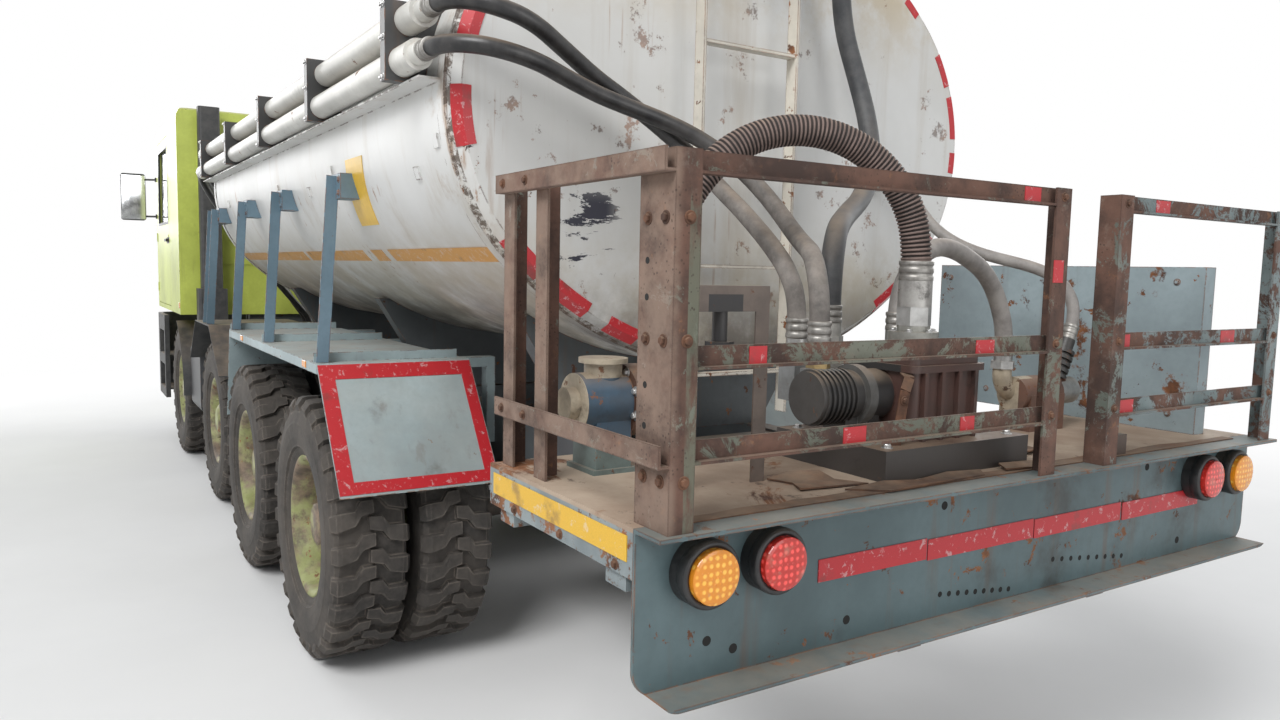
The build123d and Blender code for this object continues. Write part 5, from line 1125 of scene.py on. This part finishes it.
# Lamps: lenses over the rubber-ringed solids, as along and radius
rear_lens = (
    (-0.0155, 0.0572), (0.0005, 0.0572), (0.0022, 0.0560), (0.0040, 0.0500), (0.0052, 0.038),
    (0.0060, 0.018), (0.0062, 0.004),
)
lamp_ring = (
    (-0.030, 0.0705), (-0.010, 0.0718), (-0.002, 0.0715), (0.0035, 0.0690), (0.0060, 0.0640),
    (0.0045, 0.0590), (0.0, 0.0573),
)
lamp_rows = ((1.048, "amber_lens"), (0.867, "red_lens"))
lamp_height = -0.102
front_lens_station, front_lens_z = 9.054, 0.812
# Distance out and radius of the two round front lenses on a side
front_lens_rows = ((0.735, 0.070), (0.895, 0.062))


def make_lamps():
    rings = Shape()
    for y, finish in lamp_rows:
        shape = Shape()
        for side in sides:
            middle = Vector(on_deck(0.022, side * y, lamp_height))
            shape.turned(rear_lens, middle, rearward, 40)
            for radius, count in ((0.0, 1), (0.014, 6), (0.027, 12), (0.040, 18)):
                sink = radius * 0.05
                dot = ((0.0, 0.0042), (0.0064 - sink, 0.0042), (0.0074 - sink, 0.0020))
                for a, b in circle(radius, count):
                    shape.turned(dot, middle + Vector((0, a, b)), rearward, 8)
            rings.turned(lamp_ring, on_deck(0.0385, side * y, lamp_height), rearward, 48)
        shape.make(finish.replace("lens", "rear_lens"), "root", finish)
    rings.make("lamp_rings", "root", "trim", True)
    glow = Shape()
    for side in sides:
        for y, radius in front_lens_rows:
            rows = ((-0.004, 1), (0.001, 1), (0.0035, 0.93), (0.0046, 0.6), (0.0050, 0.006 / radius))
            profile = [(along, radius * share) for along, share in rows]
            glow.turned(profile, (x_at(front_lens_station), side * y, front_lens_z), (1, 0, 0), 40)
    glow.make("front_lenses", "root", "clear_lens", True)
    blink = Shape()
    blink.boxes((front_lens_station - 0.002, front_lens_station + 0.0045), (0.968, 0.994), (0.735, 0.885))
    blink.make("front_indicators", "root", "amber_lens", edge=0.003, segments=2)


# Station and left of the pump's inlet, station and height of the valve's flange, station and top of the lid
inlet_station, inlet_y = 0.330, 0.165
flange_station, flange_height = 0.600, 0.172
lid_station, lid_top = 3.400, 3.216
# Height of each stay's foot, and its station
stay_rows = ((1.290, 2.440), (1.290, 3.530), (1.290, 4.490), (1.262, 5.530), (1.262, 5.710))


def make_bolts():
    cage = Shape()
    cage.bolt_rows((0.044, 0.104), (1.174,), (0.10, 0.37, 0.60), leftward, 0.009)
    cage.bolt_rows((0.014,), (1.140,), (0.10, 0.37, 0.60), rearward, 0.009)
    cage.bolt_rows((0.014,), (0.0, -0.28, -1.145), (0.155, 0.338, 0.705), rearward, 0.008)
    cage.bolt_rows((0.600, 0.725), (1.199,), (0.152, 0.705), leftward, 0.008)
    cage.bolt_rows((0.16, 0.40, 0.64), (1.200,), (-0.089,), leftward, 0.008)
    cage.make("cage_bolts", "root", "rust", edge=small_edge)
    stay = Shape()
    face = flank_y(2.0) + 0.062
    for foot, station in stay_rows:
        for side in sides:
            x = x_at(station)
            stay.bolts([(x - 0.036 * side, side * face, z) for z in (1.974, 2.026)], (0, side, 0))
            stay.bolt((x + 0.026 * side, side * 1.1988, foot + 0.045), (0, side, 0), 0.009)
    stay.make("stay_bolts", "root", "stay", edge=small_edge)
    panel = Shape()
    panel.bolt_rows((0.26, 0.50, 0.74, 0.98, 1.18), (-1.020,), (0.06, 0.50), leftward, 0.008)
    panel.make("panel_bolts", "root", "panel", edge=small_edge)
    pump = Shape()
    for x, z in circle(0.079, 8, 0.5):
        for y, direction in ((0.928, leftward), (0.880, rightward)):
            pump.bolt(on_deck(flange_station + x, y, flange_height + z), direction, 0.0085, 0.010)
    for x in (-0.116, 0.116):
        for y in (-0.122, 0.122):
            pump.bolt(on_deck(inlet_station + x, inlet_y + y, 0.300), upward, 0.009, 0.010)
            pump.bolt(on_deck(0.340 + x * 1.4, 0.180 + y * 1.9, 0.078), upward, 0.010, 0.010)
    places = [on_deck(inlet_station + x, inlet_y + y, 0.352) for x, y in circle(0.055, 6)]
    pump.bolts(places, upward, 0.007)
    pump.make("pump_bolts", "root", "zinc", edge=small_edge)
    lid = Shape()
    lid.bolts([(x_at(lid_station) + x, y, lid_top) for x, y in circle(0.250, 10, 0.5)], upward, 0.012, 0.012)
    lid.make("lid_bolts", "manhole_lid", "tank", edge=small_edge)


# Station, left and height over the platform
strap_route = (
    (0.205, 0.385, 0.006), (0.190, 0.378, 0.020), (0.188, 0.345, 0.215), (0.200, 0.318, 0.245),
    (0.232, 0.300, 0.252),
)


def make_strap():
    """A rusty strap from the platform over the motor's side."""
    strap = Shape()
    points = [Vector(on_deck(*place)) for place in strap_route]
    for here, there in zip(points, points[1:]):
        heading = (there - here).normalized()
        across = Vector((0.35, 0.94, 0)).cross(heading).cross(heading).normalized() * 0.013
        through = heading.cross(across).normalized() * 0.0025
        corners = ((-1, -1), (1, -1), (1, 1), (-1, 1))
        strap.tube([spot + across * a + through * b for spot in (here, there) for a, b in corners], 4)
    strap.bolt(on_deck(0.1855, 0.350, 0.190), rearward, 0.008)
    strap.make("motor_strap", "root", "rust", edge=small_edge)


def make_holes():
    """Drilled holes in the bumper's web and in the corner post, drawn as dark discs of painted shade."""
    shape = Shape()
    web = x_at(web_station)
    for row in range(9):
        shape.disc((web, 0.30 - 0.034 * row, 0.905 - 0.004 * row), rearward, 0.0075)
        shape.disc((web, -0.16 - 0.042 * row, 0.925 - 0.005 * row), rearward, 0.0075)
    for y, z in ((0.95, 0.90), (0.62, 0.90), (0.30, 1.13), (-0.60, 1.14), (-0.80, 0.89), (1.02, 0.93)):
        shape.disc((web, y, z), rearward, 0.011, 14)
    for height in (0.20, 0.28, 0.45, 0.52):
        shape.disc(on_deck(0.104, 1.174, height), leftward, 0.007)
    shape.make("drilled_holes", "root", "hole")


# Loose, torn plates lying on the platform, as station and left of each corner
loose_plates = (
    (
        (0.062, 0.52), (0.128, 0.60), (0.132, 0.47), (0.120, 0.36), (0.134, 0.24), (0.118, 0.13),
        (0.080, 0.16), (0.066, 0.33),
    ),
    (
        (0.150, 0.50), (0.170, 0.70), (0.235, 0.665), (0.300, 0.690), (0.330, 0.60), (0.290, 0.53),
        (0.220, 0.545),
    ),
    ((0.074, -0.05), (0.085, 0.07), (0.130, 0.04), (0.126, -0.09), (0.098, -0.16)),
    ((0.20, -0.20), (0.24, -0.13), (0.36, -0.15), (0.40, -0.24), (0.33, -0.31), (0.24, -0.29)),
)


def make_loose_plates():
    shape = Shape()
    for outline in loose_plates:
        spots = [(x_at(station), y) for station, y in outline]
        shape.slab(spots, deck_top + 0.0008, deck_top + 0.0048, 0.010)
    strip = [(0.070, 1.10)]
    y = 1.10
    while y > -1.10:
        strip.append((0.108 + random.uniform(-0.006, 0.016), y))
        y -= random.uniform(0.035, 0.11)
    strip.append((0.070, strip[-1][1]))
    points = [on_deck(station, y, height) for height in (0.0030, 0.0002) for station, y in strip]
    shape.tube(points, len(strip))
    shape.make("loose_plates", "root", "loose_plate")


# Cab details

# Station and height of each corner of a door's window
window_line = ((7.802, 2.012), (8.628, 2.012), (8.536, 2.698), (7.802, 2.698))
seal_width = 0.030 * 1.3


def make_doors():
    """A window seal and a handle on each door."""
    middle = sum((Vector(corner) for corner in window_line), Vector((0, 0))) / len(window_line)
    for side in sides:
        seal = Shape()
        points = []
        for corner in window_line:
            inner = Vector(corner) + (middle - Vector(corner)).normalized() * seal_width
            for spot, y in ((corner, -0.012), (inner, -0.012), (inner, 0.002), (corner, 0.002)):
                points.append((x_at(spot[0]), side * (cab_half + y), spot[1]))
        seal.tube(points, 4, True)
        seal.make(f"window_seal_{hands[side]}", f"door_{hands[side]}", "trim")
        handle = Shape()
        y, plate, grip = [side * (cab_half + out) for out in (-0.001, 0.004, 0.026)]
        handle.box((7.770, 7.935), (y, plate), (1.842, 1.898))
        handle.box((7.785, 7.920), (y, grip), (1.858, 1.884))
        handle.make(f"door_handle_{hands[side]}", f"door_{hands[side]}", "trim", edge=0.003, segments=2)


def make_cab_details():
    shape = Shape()
    shape.boxes((8.7985, 8.8002), (1.336, 1.534), (2.080, 2.495))
    shape.make("mirror_faces", "cab", "mirror", edge=0.001)
    wiper = Shape()
    lean = Vector((-0.200, 0, 0.860)).normalized()
    for y in (0.30, -0.50):
        foot = Vector((x_at(8.895), y, 2.030))
        tip = foot + Vector((-0.0155, 0.42, 0)) + lean * 0.20
        wiper.prism(foot, tip, 0.0075, 8, 0.005)
        blade = Vector((0, 0.30, 0)) + lean * 0.075
        wiper.prism(tip - blade, tip + blade, 0.006)
        wiper.turned(((-0.030, 0.019), (0.006, 0.019), (0.010, 0.012)), foot, (1, 0, 0.2), 16)
    wiper.make("wipers", "cab", "trim", edge=small_edge)
    for name, body, stations, outs, heights in (
        ("cab_reflectors", "cab", ((7.090, 7.150),), (cab_half - 0.002, cab_half + 0.004), (1.300, 1.345)),
        ("fender_reflectors", "root", ((2.60, 2.665), (4.10, 4.165)), (1.248, 1.2535), (1.257, 1.284)),
    ):
        shape = Shape()
        for ends in stations:
            shape.boxes(ends, outs, heights)
        shape.make(name, body, "amber_lens", edge=0.001)


clamp_count, first_clamp, clamp_pitch = 5, 1.500, 1.010
weld_steps, weld_inset = 180, 0.046


def make_nuts_and_weld():
    """Nuts on the pipe clamps and a weld bead round the rear head."""
    nuts = Shape()
    for clamp in range(clamp_count):
        x = x_at(first_clamp + clamp_pitch * clamp)
        places = [(x + shift, 1.258, z) for z in (2.266, 2.385, 2.484) for shift in (-0.012, 0.012)]
        nuts.bolts(places, leftward, 0.0065, 0.008)
    nuts.make("clamp_nuts", "root", "zinc", edge=small_edge)
    bead = Shape()
    points = []
    for step in range(weld_steps):
        y, z = oval_point(2 * math.pi * step / weld_steps, 0.0006)
        out = Vector((0, y, z - tank_centre_z)).normalized()
        swell = 0.0042 + 0.0010 * math.sin(step * 2.3)
        middle = Vector((x_at(tank_rear + weld_inset), y, z))
        points += [middle + out * b + Vector((a, 0, 0)) for a, b in circle(swell, 6)]
    bead.tube(points, 6, True)
    bead.make("head_weld", "root", "tank", True)


floor_reach = 90
# Distances from the middle where the floor begins to go white and is white
fade_begin, fade_end = 4.6, 10.5


def make_floor():
    """A plain pale floor that runs out to the white of the backdrop."""
    mesh = bpy.data.meshes.new("floor")
    corners = [(a * floor_reach, b * floor_reach, 0) for a, b in ((-1, -1), (1, -1), (1, 1), (-1, 1))]
    mesh.from_pydata(corners, [], [(0, 1, 2, 3)])
    floor = add_object("floor", mesh)
    finish = Finish("floor_finish", 0.9)
    finish.tone = finish.tones((0.78, 0.78, 0.775), (0.82, 0.82, 0.815), 0.3, 0.7, 0.6, 4)
    mesh.materials.append(finish.done())
    distance = finish.node("VectorMath", {0: finish.place}, "LENGTH")["Value"]
    rays = finish.node("LightPath", {})
    seen = finish.most(rays["Is Camera Ray"], rays["Is Glossy Ray"])
    share = finish.both(finish.ramp(distance, fade_begin, fade_end), seen)
    white = finish.node("Emission", {"Color": (1, 1, 1, 1)})[0]
    blend = finish.node("MixShader", {0: share, 1: finish.shader.outputs[0], 2: white})[0]
    join(finish.tree, blend, finish.tree.nodes["Material Output"].inputs["Surface"])


make_camera()
make_light()
make_hoses()
finish_solids()
make_wheels()
make_sleeves()
make_head_patches()
make_flank()
make_tapes()
make_lamps()
make_bolts()
make_strap()
make_holes()
make_loose_plates()
make_doors()
make_cab_details()
make_nuts_and_weld()
make_floor()
bpy.context.view_layer.update()
